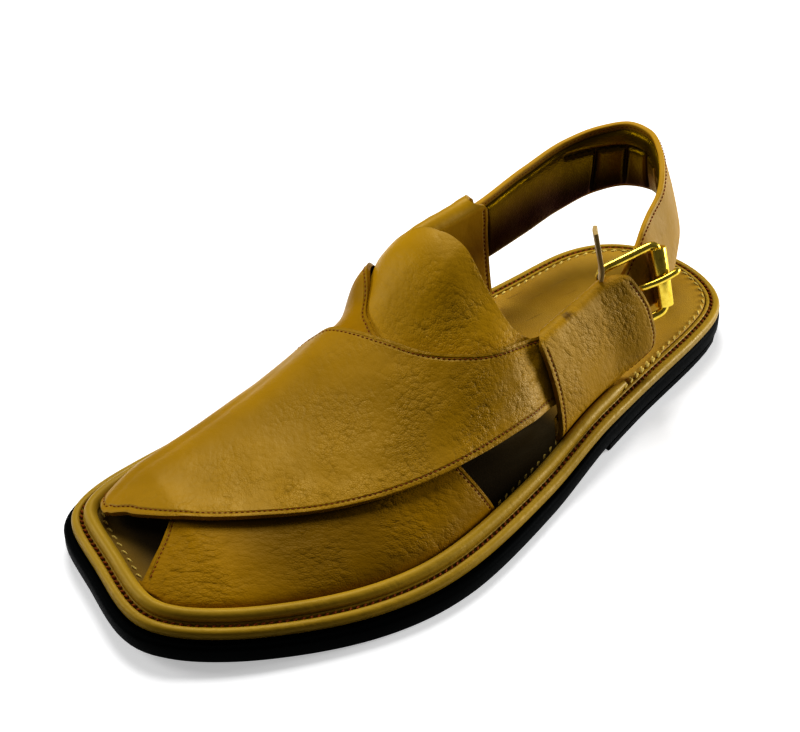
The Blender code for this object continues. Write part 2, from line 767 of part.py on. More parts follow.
def build_frame(group):
    """Wire rectangle with rounded corners; its arms bow outwards over the strap's edges."""
    corners = [(0.0, -0.09), (1.0, -0.09), (1.0, 1.09), (0.0, 1.09)]
    corner_share, corner_height = 0.14, 0.11
    arc = 5
    points = []
    for index, (share, height) in enumerate(corners):
        toward_share = 1.0 if share < 0.5 else -1.0
        toward_height = 1.0 if height < 0.5 else -1.0
        centre = (share + toward_share * corner_share, height + toward_height * corner_height)
        for k in range(arc):
            turn = (k / (arc - 1)) * math.pi / 2
            along, across = math.cos(turn), math.sin(turn)
            if index % 2:
                along, across = across, along
            here = (centre[0] - toward_share * corner_share * along,
                    centre[1] - toward_height * corner_height * across)
            points.append(frame_point(here[0], here[1], 0.0))
    return wire("buckle_frame", points, WIRE_RADIUS, group, "brass", cyclic=True)


def build_roller(group):
    """A tube that turns on the frame's rear bar."""
    start, end = (frame_point(1.0, height, 0.0) for height in ROLLER_SPAN)
    axis = (end - start) / np.linalg.norm(end - start)
    side = np.cross(axis, (0.0, 1.0, 0.0))
    side /= np.linalg.norm(side)
    front = np.cross(axis, side)
    sides = 20
    bore = WIRE_RADIUS + FIT
    profile = [(bore, start), (ROLLER_RADIUS, start), (ROLLER_RADIUS, end), (bore, end)]
    rings = []
    for radius, centre in profile:
        for k in range(sides):
            angle = 2 * math.pi * k / sides
            rings.append(centre + radius * (side * math.cos(angle) + front * math.sin(angle)))
    faces = band_faces(len(profile), sides)
    last = (len(profile) - 1) * sides
    for k in range(sides):
        nxt = (k + 1) % sides
        faces.append((last + k, last + nxt, nxt, k))
    mesh = mesh_from("buckle_roller", rings, faces)
    face_outwards(mesh)
    smooth(mesh)
    return add_object("buckle_roller", mesh, group, "brass")


ROLLER_SPAN = (0.06, 0.94)   # its ends, as heights down the frame
PRONG_HEIGHT = 0.48
PRONG_PATH = [  # share from hinge to roller, height outside the frame's plane
    (0.125, 0.0),
    (0.25, 0.15),
    (0.45, 1.1),
    (0.68, 3.4),
    (0.86, 4.5),
    (1.02, 4.5),
    (1.18, 3.9),
    (1.30, 2.6),
]


def prong_points(count):
    rows = [frame_point(share, PRONG_HEIGHT, lift) for share, lift in PRONG_PATH]
    return smooth_path(rows, count)


def build_prong(group):
    return wire("buckle_prong", prong_points(18), PRONG_RADIUS, group, "brass")


# ---------------------------------------------------------------- back strap
def strap_edges():
    """Upper and lower edges of the strap, from inside the inner ear to inside the outer ear."""
    rows = []
    for y, top_turn, foot_turn in STRAP_IN_INNER_EAR:
        edges = form_offset(y, np.array((top_turn, foot_turn)), EAR_DEPTH - 0.5)
        rows.append((*edges[0], *edges[1]))
    rows += STRAP_LOOP
    for share, lift in STRAP_THROUGH:
        rows.append(np.concatenate([frame_point(share, height, lift) for height in STRAP_IN_FRAME]))
    for y, top_turn, foot_turn in STRAP_IN_EAR:
        edges = form_offset(y, np.array((top_turn, foot_turn)), EAR_DEPTH)
        rows.append((*edges[0], *edges[1]))
    return np.array(rows, float)


def band_grid(rows, count, across, depth=0.0, trim=0.0, camber=0.0, first=0.0, last=1.0):
    """Points over a band between two edges; depth moves it inwards, trim narrows it.

    first and last are the rows where the band starts and ends, last counted from the end."""
    middle = (rows[:, :3] + rows[:, 3:]) / 2
    travel = np.concatenate(([0.0], np.cumsum(np.linalg.norm(np.diff(middle, axis=0), axis=1))))
    count_rows = np.arange(len(rows))
    start, end = np.interp((first, len(rows) - last), count_rows, travel)
    edges = read_curve(travel, rows, np.linspace(start, end, count))
    top, foot = edges[:, :3], edges[:, 3:]
    down = foot - top
    width = np.linalg.norm(down, axis=1)[:, None]
    down = down / width
    run = np.gradient((top + foot) / 2, axis=0)
    out = np.cross(run, down)
    out /= np.linalg.norm(out, axis=1)[:, None]
    share = np.linspace(0.0, 1.0, across)
    grid = []
    for part in share:
        bow = camber * math.sin(math.pi * part)
        place = trim + (width - 2 * trim) * part
        grid.append(top + down * place + out * (bow - depth))
    return np.stack(grid, axis=1)


def strap_sheet(name, points, thickness, group, material):
    item = sheet(name, points, group, thickness)
    item.modifiers["wall"].offset = 0.0
    item.data.materials.append(get_material(material))
    smooth(item.data, 50.0)
    return item


def build_strap(group, helpers):
    """The strap, with a slot where the prong passes through it."""
    grid = band_grid(strap_edges(), 64, 4, camber=STRAP_CAMBER)
    strap = strap_sheet("back_strap", grid, STRAP_THICK, group, "leather_strap")
    cutter = wire("prong_slot", prong_points(18), PRONG_RADIUS + SLOT_PLAY, helpers, "brass")
    hide_helper(cutter)
    slot = strap.modifiers.new("slot", "BOOLEAN")
    slot.operation = "DIFFERENCE"
    slot.solver = "EXACT"
    slot.object = cutter
    return strap


def build_lining(group):
    """The padded lining, from the inner ear to a little before the roller."""
    depth = STRAP_THICK / 2 + FIT + LINING_THICK / 2
    first, last = LINING_ROWS
    grid = band_grid(strap_edges(), 36, 4, depth, trim=LINING_TRIM, camber=STRAP_CAMBER, first=first, last=last)
    return strap_sheet("strap_lining", grid, LINING_THICK, group, "lining_brown")


def build_tab(group):
    """The thin leather end that stands up behind the outer ear, over the hinge bar."""
    rows = np.array([  # edge towards the toe, edge towards the heel
        (27.9, -47.8, 55.3, 24.5, -45.0, 55.3),
        (27.8, -47.6, 58.5, 22.4, -43.0, 58.5),
        (26.3, -48.3, 66.0, 19.5, -42.5, 66.0),
        (24.4, -49.3, 75.0, 19.6, -45.1, 75.0),
    ], float)
    grid = band_grid(rows, 12, 3)
    return strap_sheet("buckle_tab", grid, TAB_THICK, group, "leather_strap")


def main():
    clear_scene()
    sandal = new_collection("peshawari_chappal")
    helpers = new_collection("helpers")
    build_outsole(sandal)
    build_heel_block(sandal)
    build_welt(sandal)
    build_insole(sandal)
    build_bead(sandal)
    build_upper(sandal, helpers)
    build_frame(sandal)
    build_roller(sandal)
    build_prong(sandal)
    build_strap(sandal, helpers)
    build_lining(sandal)
    build_tab(sandal)


main()
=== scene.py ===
# %% [markdown]
# # A left peshawari chappal, dressed for the camera
#
# The real sandal is made of flat leather pieces that are pulled over a last, stitched along their
# turned edges, and fixed to a welted rubber sole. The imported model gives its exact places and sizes.
# Here each leather piece is made again as one fine sheet of its own, because the leather's edges,
# seams and grain are what the eye reads first.

# %% Load the fixed frame
import math

import bpy
import numpy as np
from mathutils import Matrix, Vector
from mathutils.kdtree import KDTree


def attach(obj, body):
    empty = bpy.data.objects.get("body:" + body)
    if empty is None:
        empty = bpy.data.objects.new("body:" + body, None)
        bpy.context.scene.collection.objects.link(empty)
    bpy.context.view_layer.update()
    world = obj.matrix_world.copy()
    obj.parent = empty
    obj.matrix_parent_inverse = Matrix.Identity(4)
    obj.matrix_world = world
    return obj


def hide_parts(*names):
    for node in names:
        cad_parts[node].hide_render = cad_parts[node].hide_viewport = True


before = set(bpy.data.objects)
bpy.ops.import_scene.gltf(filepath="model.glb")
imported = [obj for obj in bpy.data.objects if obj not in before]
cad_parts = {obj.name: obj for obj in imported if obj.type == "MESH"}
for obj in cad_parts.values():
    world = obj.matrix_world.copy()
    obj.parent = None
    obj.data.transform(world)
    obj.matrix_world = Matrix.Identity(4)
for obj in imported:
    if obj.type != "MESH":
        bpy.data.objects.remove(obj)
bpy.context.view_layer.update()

MM = 0.001
print("nodes:", sorted(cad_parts))

# %% [markdown]
# The camera stands in front of the outer side and looks down on the sandal. Its place is worked out
# from an azimuth, an elevation and a distance, because each of them can then be changed on its own.

# %% Camera
AZIMUTH, ELEVATION, ROLL = (math.radians(v) for v in (49.834, 37.067, 0.5235))
TARGET = Vector((-35.951, -90.574, 0.0)) * MM
DISTANCE = 656.298 * MM
LENS, SENSOR = 74.235, 36.0


def deselect():
    """Leaves edit mode and deselects everything, because an operator acts on all that is selected."""
    if bpy.context.mode != "OBJECT":
        bpy.ops.object.mode_set(mode="OBJECT")
    bpy.ops.object.select_all(action="DESELECT")


sideways = math.cos(ELEVATION)
back = Vector((math.sin(AZIMUTH) * sideways, -math.cos(AZIMUTH) * sideways, math.sin(ELEVATION)))
level = Vector((0, 0, 1)).cross(back).normalized()
upright = back.cross(level)
right = level * math.cos(ROLL) + upright * math.sin(ROLL)
above = upright * math.cos(ROLL) - level * math.sin(ROLL)
deselect()
bpy.ops.object.camera_add()
camera = bpy.context.active_object
camera.name = "camera"
turned = Matrix((right, above, back)).transposed().to_4x4()
camera.matrix_world = Matrix.Translation(TARGET + back * DISTANCE) @ turned
camera.data.lens, camera.data.sensor_width, camera.data.sensor_fit = LENS, SENSOR, "HORIZONTAL"
bpy.context.scene.camera = camera
print("camera at", [round(v, 4) for v in camera.matrix_world.translation])

# %% [markdown]
# The sandal stands on a white table under big soft lights. A plane is enough for the table. Large area
# lamps give the broad, soft highlights that leather needs. A faint white surrounding fills the shadows,
# and the table glows a little itself, which keeps it white.

# %% Table and lights
TABLE_SIZE, FILL_LIGHT = 6.0, 0.07

deselect()
bpy.ops.mesh.primitive_plane_add(size=TABLE_SIZE)
floor = bpy.context.active_object
floor.name = "floor"
floor.visible_diffuse = False  # its own glow mustn't light the leather from below
LAMPS = [  # name, place, size, power
    ("top_lamp", (-0.58, 0.22, 1.12), 0.6, 11.0),
    ("toe_lamp", (-0.95, -0.90, 0.60), 0.5, 6.0),
    ("heel_lamp", (0.50, 1.12, 0.28), 0.5, 15.0),
]
for name, place, size, power in LAMPS:
    deselect()
    bpy.ops.object.light_add(type="AREA", location=place)
    lamp = bpy.context.active_object
    lamp.name = name
    lamp.data.size = size
    lamp.data.energy = power
    lamp.rotation_euler = (Vector(place) - TARGET).to_track_quat("Z", "Y").to_euler()
world = bpy.data.worlds.new("studio")
world.use_nodes = True
surround = world.node_tree.nodes["Background"].inputs
surround["Color"].default_value = (1.0, 1.0, 1.0, 1.0)
surround["Strength"].default_value = FILL_LIGHT
bpy.context.scene.world = world
bpy.context.scene.view_settings.view_transform = "Standard"
bpy.context.scene.view_settings.look = "Medium High Contrast"
print("lamps:", len(LAMPS))

# %% [markdown]
# Curves are read from short tables of measured stations. A cubic curve through the values keeps edges
# fair, as a pattern cutter's line is, with no flat spots between the stations.

# %% Curves
def ease(value):
    """A soft step from 0 to 1."""
    value = np.clip(value, 0.0, 1.0)
    return value * value * (3.0 - 2.0 * value)


def column(table, index):
    return np.array([row[index] for row in table], float)


def unit(vectors):
    """Vectors of length 1 in the same directions, one to a row."""
    return vectors / np.linalg.norm(vectors, axis=-1)[..., None]


def cubic(part, step, values, slopes, low, high):
    """The cubic from values[low] to values[high] that keeps their slopes, read at a part of the step."""
    square, cube = part**2, part**3
    start = (2 * cube - 3 * square + 1) * values[low] + (cube - 2 * square + part) * step * slopes[low]
    return start + (3 * square - 2 * cube) * values[high] + (cube - square) * step * slopes[high]


def read_curve(knots, values, where):
    """Cubic curve through values at knots, read at where."""
    knots, values, where = (np.asarray(v, float) for v in (knots, values, where))
    slopes = np.gradient(values, knots, axis=0)
    low = np.clip(np.searchsorted(knots, where, side="right") - 1, 0, len(knots) - 2)
    step = knots[low + 1] - knots[low]
    part = (where - knots[low]) / step
    if values.ndim > 1:
        part, step = part[..., None], step[..., None]
    return cubic(part, step, values, slopes, low, low + 1)


def closed_curve(points, per_span):
    """Smooth closed curve through points, knots spaced by the root of the chord."""
    points = np.asarray(points, float)
    count = len(points)
    chord = np.linalg.norm(np.roll(points, -1, 0) - points, axis=1) ** 0.5
    matrix, side = np.zeros((count, count)), np.zeros(points.shape)
    for i in range(count):
        before, after, nxt = chord[i - 1], chord[i], (i + 1) % count
        matrix[i, i - 1], matrix[i, i], matrix[i, nxt] = 1 / before, 2 / before + 2 / after, 1 / after
        side[i] = 3 * (points[i] - points[i - 1]) / before**2 + 3 * (points[nxt] - points[i]) / after**2
    slopes = np.linalg.solve(matrix, side)
    parts = np.arange(per_span) / per_span
    return np.array([cubic(part, chord[i], points, slopes, i, (i + 1) % count)
                     for i in range(count) for part in parts])


def travelled(points):
    """Distance along a line at each of its points."""
    return np.concatenate(([0.0], np.cumsum(np.linalg.norm(np.diff(points, axis=0), axis=1))))


def resample(points, count):
    """Evenly spaced points along an open line, ends included."""
    travel = travelled(points)
    marks = np.linspace(0.0, travel[-1], count)
    return np.stack([np.interp(marks, travel, points[:, k]) for k in range(points.shape[1])], axis=1)


def smooth_path(points, count):
    """Evenly spaced points on a cubic curve through a few points."""
    points = np.asarray(points, float)
    travel = travelled(points)
    return read_curve(travel, points, np.linspace(0.0, travel[-1], count))


print("a quarter of the way, eased:", round(float(ease(0.25)), 3))

# %% [markdown]
# Everything in the sole follows one line, the edge of the tan welt. The other layers are the same line
# moved in or out, and all of them bend with the sole: up at the heel, down at the ball, up at the toe.

# %% The welt's line, in millimetres
WELT_LENGTH, BALL_WIDTH, HEEL_BACK = 286.5, 118.5, 35.0
WELT_BASE, WELT_TOP, FOOTBED = 7.3, 11.4, 11.7
HEEL_RISE, WAIST_FROM, WAIST_RUN = 4.0, -105.0, 41.0
SPRING_RISE, SPRING_FROM = 3.6, -185.0
HALF, PER_SPAN = 150, 24  # points along one side of the welt, and between two stations
OUTER_SIDE = [  # along, out, as shares of the welt's length and the ball's width
    (0.000, 0.000), (0.031, 0.219), (0.105, 0.312), (0.209, 0.371), (0.328, 0.439), (0.447, 0.515),
    (0.586, 0.599), (0.698, 0.629), (0.796, 0.586), (0.883, 0.498), (0.953, 0.397), (1.005, 0.245),
    (0.996, -0.008),
]
INNER_SIDE = [
    (0.975, 0.226), (0.940, 0.300), (0.887, 0.338), (0.785, 0.363), (0.698, 0.371), (0.593, 0.359),
    (0.454, 0.333), (0.332, 0.321), (0.209, 0.325), (0.105, 0.321), (0.031, 0.219),
]


def welt_outline():
    """The welt's edge from the heel along the outer side to the toe, and back along the inner side."""
    rows = [(out * BALL_WIDTH, HEEL_BACK - along * WELT_LENGTH) for along, out in OUTER_SIDE]
    rows += [(-out * BALL_WIDTH, HEEL_BACK - along * WELT_LENGTH) for along, out in INNER_SIDE]
    dense = closed_curve(rows, PER_SPAN)
    toe = PER_SPAN * (len(OUTER_SIDE) - 1)
    outer = resample(dense[: toe + 1], HALF + 1)
    inner = resample(np.vstack([dense[toe:], dense[:1]]), HALF + 1)
    return np.vstack([outer[:-1], inner[:-1]])


def inset(outline, distance):
    """The outline moved inwards, or outwards by a negative distance."""
    run = np.roll(outline, -1, 0) - np.roll(outline, 1, 0)
    normal = unit(np.stack([-run[:, 1], run[:, 0]], axis=1))
    if np.sum(normal * (outline - outline.mean(axis=0))) > 0:
        normal = -normal
    return outline + normal * np.reshape(distance, (-1, 1))


def sole_lift(y):
    """How high the sole's underside is over the table."""
    y = np.asarray(y, float)
    toe = np.clip((SPRING_FROM - y) / (SPRING_FROM - HEEL_BACK + WELT_LENGTH), 0.0, 1.0) ** 2
    return HEEL_RISE * ease((y - WAIST_FROM) / WAIST_RUN) + SPRING_RISE * toe


WELT = welt_outline()
# The rubber stands out past the welt, a little at the heel and more from the ball to the toe.
OUTSOLE = inset(WELT, -np.interp(-WELT[:, 1], (40.0, 150.0), (0.8, 3.3)))
print("welt line:", len(WELT), "points,", round(float(np.ptp(WELT[:, 1])), 1), "mm long")

# %% [markdown]
# The last is the wooden foot that the leather is pulled over. `last_point` gives a place on its skin
# from how far back it is and how far round, from the outer foot line (0) over the ridge (0.5) to the
# inner foot line (1). Every piece of the upper is then drawn on this skin, as on a taped last.

# %% The last under the leather
INSTEP_RISE, FOOT_INSET, FIRST_FOOT_POINT = 64.0, 9.4, 12
TOE_EDGE, TOE_SLANT, TOE_RUN, TOE_DROP, TOE_POWER = 241.4, 0.135, 22.0, 0.72, 1.3
LAST_SECTIONS = [  # y, ridge_x, rise, outer, inner, flare
    (-250, -8, 0.200, 0.80, 0.80, 0.0),
    (-222, -10, 0.205, 0.90, 0.80, 0.0),
    (-200, -10, 0.258, 1.00, 0.80, 0.0),
    (-165, -10, 0.412, 1.10, 0.80, 0.0),
    (-130, -10, 0.650, 1.25, 0.70, 2.0),
    (-95, -11, 0.980, 1.35, 0.55, 6.0),
    (-65, -11, 0.985, 1.35, 0.45, 7.5),
    (-40, -10, 1.040, 1.30, 0.40, 7.0),
    (-22, -10, 1.045, 1.30, 0.40, 6.0),
]


def foot_line(side):
    """Where the last meets the sole on one side, from the toe back to the heel."""
    line = inset(WELT, FOOT_INSET)
    half = line[:HALF] if side > 0 else line[:HALF:-1]
    return half[FIRST_FOOT_POINT: int(np.argmin(half[:, 1])) + 1][::-1]


OUTER_FOOT, INNER_FOOT = foot_line(+1), foot_line(-1)


def last_point(y, turn):
    """A point on the skin of the last, which closes down towards the slanted edge of the toe."""
    y, turn = np.broadcast_arrays(np.asarray(y, float), np.asarray(turn, float))
    stations = column(LAST_SECTIONS, 0)
    ridge_x, outer_power, inner_power, flare = (
        np.interp(y, stations, column(LAST_SECTIONS, k)) for k in (1, 3, 4, 5))
    reach = np.clip(y, stations[0], stations[-1])
    rise = read_curve(stations, column(LAST_SECTIONS, 2), reach) * INSTEP_RISE
    outer_x = np.interp(y, OUTER_FOOT[:, 1], OUTER_FOOT[:, 0])
    inner_x = np.interp(y, INNER_FOOT[:, 1], INNER_FOOT[:, 0])
    width = np.abs(np.cos(np.pi * turn))
    outer = ridge_x + (outer_x - ridge_x) * width**outer_power
    inner = ridge_x + (inner_x - ridge_x) * width**inner_power - flare * np.sin(2 * np.pi * (1.0 - turn))
    x = np.where(turn <= 0.5, outer, inner)
    closing = np.clip((y + TOE_EDGE + TOE_SLANT * x) / TOE_RUN, 0.0, 1.0)
    rise = rise * (1.0 - TOE_DROP * (1.0 - closing) ** TOE_POWER)
    return np.stack([x, y, sole_lift(y) + FOOTBED + rise * np.sin(np.pi * turn)], axis=-1)


def last_inside(y, turn, depth):
    """A point inside the skin by a depth, measured square to it; a negative depth stands off it."""
    y, turn, depth = np.broadcast_arrays(*(np.asarray(v, float) for v in (y, turn, depth)))
    around = last_point(y, np.clip(turn + 0.02, 0.0, 1.0)) - last_point(y, np.clip(turn - 0.02, 0.0, 1.0))
    along = last_point(y + 2.0, turn) - last_point(y - 2.0, turn)
    normal = unit(np.cross(around, along))
    normal[..., 2] *= ease(np.minimum(turn, 1.0 - turn) / 0.05)  # level where the skin meets the sole
    return last_point(y, turn) + unit(normal) * depth[..., None]


print("instep at", round(float(last_point(-95.0, 0.5)[2]), 1), "mm")

# %% [markdown]
# Shaders here are sums of small ideas: a pore, a vein, a scuffed edge. `Flow` wraps a shader socket so
# that such sums read as plain arithmetic, and `Finish` adds every other kind of node through one method.

# %% A short language for shaders
class Flow:
    """A number that flows through a shader."""

    def __init__(self, finish, socket):
        self.finish, self.socket = finish, socket

    def _maths(self, operation, *values):
        return self.finish.node("Math", {"operation": operation}, *values)

    def __add__(self, other):
        return self._maths("ADD", self, other)

    def __sub__(self, other):
        return self._maths("SUBTRACT", self, other)

    def __rsub__(self, other):
        return self._maths("SUBTRACT", other, self)

    def __mul__(self, other):
        return self._maths("MULTIPLY", self, other)

    __radd__, __rmul__ = __add__, __mul__

    def within(self, low, high, to_low=0.0, to_high=1.0):
        """A soft step: to_low below low, to_high above high."""
        settings = {"interpolation_type": "SMOOTHSTEP", "clamp": True}
        return self.finish.node("MapRange", settings, self, low, high, to_low, to_high)


class Finish:
    """A material that is built up node by node."""

    def __init__(self, name, **constants):
        self.material = bpy.data.materials.new(name)
        self.material.use_nodes = True
        self.tree = self.material.node_tree
        self.shader = self.tree.nodes["Principled BSDF"]
        for socket, value in constants.items():
            self.shader.inputs[socket.replace("_", " ")].default_value = value

    def node(self, kind, settings, *values, output=0, **named):
        """One node: its settings, then the values or links of its sockets in order, or by name."""
        made = self.tree.nodes.new("ShaderNode" + kind)
        for key, value in settings.items():
            setattr(made, key, value)
        sockets = [s for s in made.inputs if s.enabled]
        by_name = [(made.inputs[k.replace("_", " ")], v) for k, v in named.items()]
        for socket, value in list(zip(sockets, values)) + by_name:
            if isinstance(value, Flow):
                self.tree.links.new(value.socket, socket)
            else:
                socket.default_value = (*value, 1.0) if socket.type == "RGBA" and len(value) == 3 else value
        outputs = [s for s in made.outputs if s.enabled]
        return Flow(self, outputs[output])

    def place(self):
        """The place on the piece, in its own coordinates."""
        return self.node("TexCoord", {}, output=3)

    def axis(self, where, number):
        """One number of a place: 0 is across the sandal, 1 along it and 2 up."""
        return self.node("SeparateXYZ", {}, where, output=number)

    def own(self, attribute):
        """A number that the piece's mesh carries."""
        return self.node("Attribute", {"attribute_name": attribute}, output=2)

    def mix(self, factor, first, second):
        return self.node("Mix", {"data_type": "RGBA"}, factor, first, second)

    def noise(self, where, size, detail=2.0, roughness=0.5):
        """Soft noise whose blobs are about this big, in millimetres."""
        return self.node("TexNoise", {}, Vector=where, Scale=1.0 / (size * MM), Detail=detail,
                         Roughness=roughness)

    def cells(self, where, size, feature="F1"):
        """Irregular cells about this big, in millimetres."""
        return self.node("TexVoronoi", {"feature": feature}, Vector=where, Scale=1.0 / (size * MM))

    def stir(self, where, size, amount):
        """The place pushed about by noise, so that patterns lose their regular look."""
        colour = self.node("TexNoise", {}, Vector=where, Scale=1.0 / (size * MM), Detail=1.0, output=1)
        shift = self.node("VectorMath", {"operation": "SUBTRACT"}, colour, (0.5, 0.5, 0.5))
        push = self.node("VectorMath", {"operation": "SCALE"}, shift, Scale=amount * MM)
        return self.node("VectorMath", {"operation": "ADD"}, where, push)

    def bump(self, height):
        """Relief whose height is given in millimetres."""
        return self.node("Bump", {}, Strength=1.0, Distance=MM, Height=height)

    def give(self, **links):
        """Links values to the shader's sockets and hands over the material."""
        for socket, value in links.items():
            self.tree.links.new(value.socket, self.shader.inputs[socket.replace("_", " ")])
        return self.material


def rgb(red, green, blue):
    """A colour as a screen shows it, in the linear numbers that light uses."""
    return tuple(((v / 255 + 0.055) / 1.055) ** 2.4 if v > 10 else v / 255 / 12.92
                 for v in (red, green, blue))


def dim(colour, factor):
    return tuple(v * factor for v in colour)


print("tan in linear light:", [round(v, 3) for v in rgb(160, 116, 22)])

# %% [markdown]
# The upper is milled cowhide. Tumbling the wet hide shrinks it into pebbles about a millimetre across
# with fine creases between them, deeper where the leather was slack and almost gone where it was pulled
# tight over the last. Cells from a Voronoi texture, stirred by noise, give the pebbles. The grain is
# strongest on the outer side. Each sheet carries `edge` and `seam`, its own distances to its border
# and its stitches in millimetres, so the seam's groove with its painted shade, and the darker turned
# edge, follow the real lines.
# The strap's edge is paler instead, because it is cut and not turned, and it carries a painted highlight
# along its rim as well.

# %% Tan leather
def tan_leather(name, base, grain, turned=(0.0, 0.0, 0.0), drawn=(1.0, 1.0, 1.0), gloss=0.42, sunk=0.60,
                shine=0.30, cut=0.50, stain=None, shaded=0.0):
    """Milled leather, its pebbles drawn out by the factors `drawn` along axes turned by these degrees.

    `gloss` is the middle of its roughness and `shine` the strength of its highlights. `sunk` says how
    dark the painted shade in the stitched grooves is, and `cut` how bright the edge is against the face.
    `stain` is the middle of one dark spot. `shaded` paints shade on the panel low down, in the middle of
    its length.
    """
    hide = Finish(name, Specular_IOR_Level=shine, Specular_Tint=(1.0, 0.74, 0.25, 1.0))
    where = hide.place()
    lie = hide.node("Mapping", {"vector_type": "TEXTURE"}, Vector=where,
                    Rotation=[math.radians(v) for v in turned], Scale=drawn)
    loose = hide.stir(lie, 3.0, 0.9)
    slack = hide.noise(where, 17.0, 2.0).within(0.36, 0.62, 0.30, 1.0)
    outer_side = hide.axis(where, 0).within(-0.030, 0.030, 0.10, 1.0)
    strength = slack * outer_side * grain
    reach = hide.cells(loose, 1.7)
    broken = hide.noise(lie, 3.2, 1.0).within(0.38, 0.60, 0.55, 1.0)
    creases = 1 - reach * reach * broken * 1.5
    fine = hide.cells(hide.stir(lie, 1.4, 0.3), 0.85, "DISTANCE_TO_EDGE").within(0.0, 0.22)
    pebbles = creases * 0.78 + fine * 0.22
    pores = hide.noise(where, 0.35, 3.0, 0.6)
    wide = hide.noise(lie, 5.0, 3.0)
    seam = hide.own("seam").within(0.1, 0.95)
    rim = hide.own("edge").within(0.0, 1.1)
    relief = pebbles * strength * 0.34 + pores * 0.02 + wide * 0.22 + seam * 0.28
    shade = hide.mix(hide.noise(where, 26.0, 3.0).within(0.3, 0.7), base, dim(base, 0.84))
    # Painted shade in the creases between the pebbles.
    shade = hide.mix((1 - pebbles) * strength * 0.45, shade, dim(base, 0.42))
    # Painted shade: the panel is darkened low down, in the middle of its length.
    if shaded:
        along, high = hide.axis(where, 1), hide.axis(where, 2)
        middle = along.within(-0.226, -0.194) * along.within(-0.180, -0.155, 1.0, 0.25)
        low_middle = middle * high.within(0.024, 0.038, 1.0, 0.0) * shaded
        shade = hide.mix(low_middle, shade, dim(base, 0.20))
    if stain:
        ragged = hide.stir(where, 1.6, 2.2)
        away = hide.node("VectorMath", {"operation": "DISTANCE"}, ragged, [v * MM for v in stain])
        shade = hide.mix(away.within(1.2 * MM, 3.4 * MM, 0.75, 0.0), shade, rgb(58, 30, 16))
    # Painted shade darkens the stitched grooves.
    shade = hide.mix((1 - seam) * sunk, shade, dim(base, 0.30))
    shade = hide.mix((1 - rim) * 0.35, shade, dim(base, cut))
    uneven = hide.noise(where, 14.0).within(0.3, 0.7, gloss - 0.05, gloss + 0.06)
    rough = (1 - pebbles) * strength * 0.12 + uneven
    return hide.give(Base_Color=shade, Roughness=rough, Normal=hide.bump(relief))


HIDES = {
    "over_panel": tan_leather("over_leather", rgb(174, 130, 6), 0.75, (0, 0, -20), (1.3, 1.0, 1.0)),
    # shaded paints shade low on the middle of the under panel.
    "under_panel": tan_leather("under_leather", rgb(170, 125, 2), 0.9, (0, 0, 48), (1.8, 1.0, 1.0),
                               shine=0.10, shaded=0.55),
    "tongue_panel": tan_leather("tongue_leather", rgb(188, 142, 8), 0.9, (0, 0, -25), (1.7, 1.0, 1.0)),
}
EAR_LEATHER = tan_leather("ear_leather", rgb(176, 132, 10), 0.9, (25, 0, 0), (1.0, 1.0, 1.7), gloss=0.50,
                          stain=(32.5, -69.3, 53.6))
# The inner ear's leather is a lighter copy of the ear leather; its extra brightness is painted light.
INNER_EAR_LEATHER = tan_leather("inner_ear_leather", rgb(190, 144, 12), 0.9, (25, 0, 0), (1.0, 1.0, 1.7))
# cut above 1 paints the strap's edge paler: the cut edge's own tone and a painted highlight along its rim.
STRAP_LEATHER = tan_leather("strap_leather", rgb(168, 126, 20), 0.30, drawn=(1.0, 1.0, 1.6), gloss=0.56,
                            cut=2.2)
RAW_LEATHER = tan_leather("raw_edge_leather", rgb(196, 164, 104), 0.4)
WELT_LEATHER = tan_leather("welt_leather", rgb(178, 142, 36), 0.25, sunk=0.45)
print("panel leathers:", [leather.name for leather in HIDES.values()])

# %% [markdown]
# The insole is a smoother, drier tan leather, burnished by hand: faint streaks, a few scratches, and a
# softer shine than the upper's. Its bump stays low so that it reads as flat leather under the foot.
# Under the upper it carries painted shade, far darker than worn leather would be, so that the openings look
# deep.

# %% Insole leather
def insole_leather():
    hide = Finish("insole_leather", Specular_IOR_Level=0.25, Specular_Tint=(1.0, 0.80, 0.42, 1.0))
    where = hide.place()
    streaks = hide.node("Mapping", {}, Vector=where, Scale=(1.0, 0.25, 1.0))
    faint = hide.noise(streaks, 5.0, 4.0, 0.6)
    grain = hide.cells(hide.stir(where, 2.0, 0.6), 0.8, "DISTANCE_TO_EDGE").within(0.0, 0.25)
    blotch = hide.noise(where, 22.0, 3.0)
    scratch = hide.node("Mapping", {}, Vector=where, Rotation=(0, 0, 0.5), Scale=(12.0, 0.35, 1.0))
    lines = hide.noise(scratch, 9.0, 1.0).within(0.70, 0.76)
    along = hide.axis(where, 1)
    # Painted shade under the upper, where little light gets in between the panels.
    shade_under_upper = along.within(-0.084, -0.062, 1.0, 0.0) * along.within(-0.245, -0.230, 0.50, 1.0)
    base = rgb(188, 146, 42)
    shade = hide.mix(blotch.within(0.3, 0.7), base, rgb(172, 130, 30))
    shade = hide.mix(faint.within(0.45, 0.75, 0.0, 0.35), shade, rgb(176, 138, 58))
    shade = hide.mix(lines * 0.5, shade, rgb(120, 84, 22))
    shade = hide.mix(shade_under_upper * 0.96, shade, rgb(16, 10, 2))
    relief = grain * 0.05 + faint * 0.10 - lines * 0.12
    rough = faint.within(0.3, 0.7, 0.42, 0.56) + shade_under_upper * 0.3
    return hide.give(Base_Color=shade, Roughness=rough, Normal=hide.bump(relief))


INSOLE_LEATHER = insole_leather()
print("insole leather:", len(INSOLE_LEATHER.node_tree.nodes), "nodes")
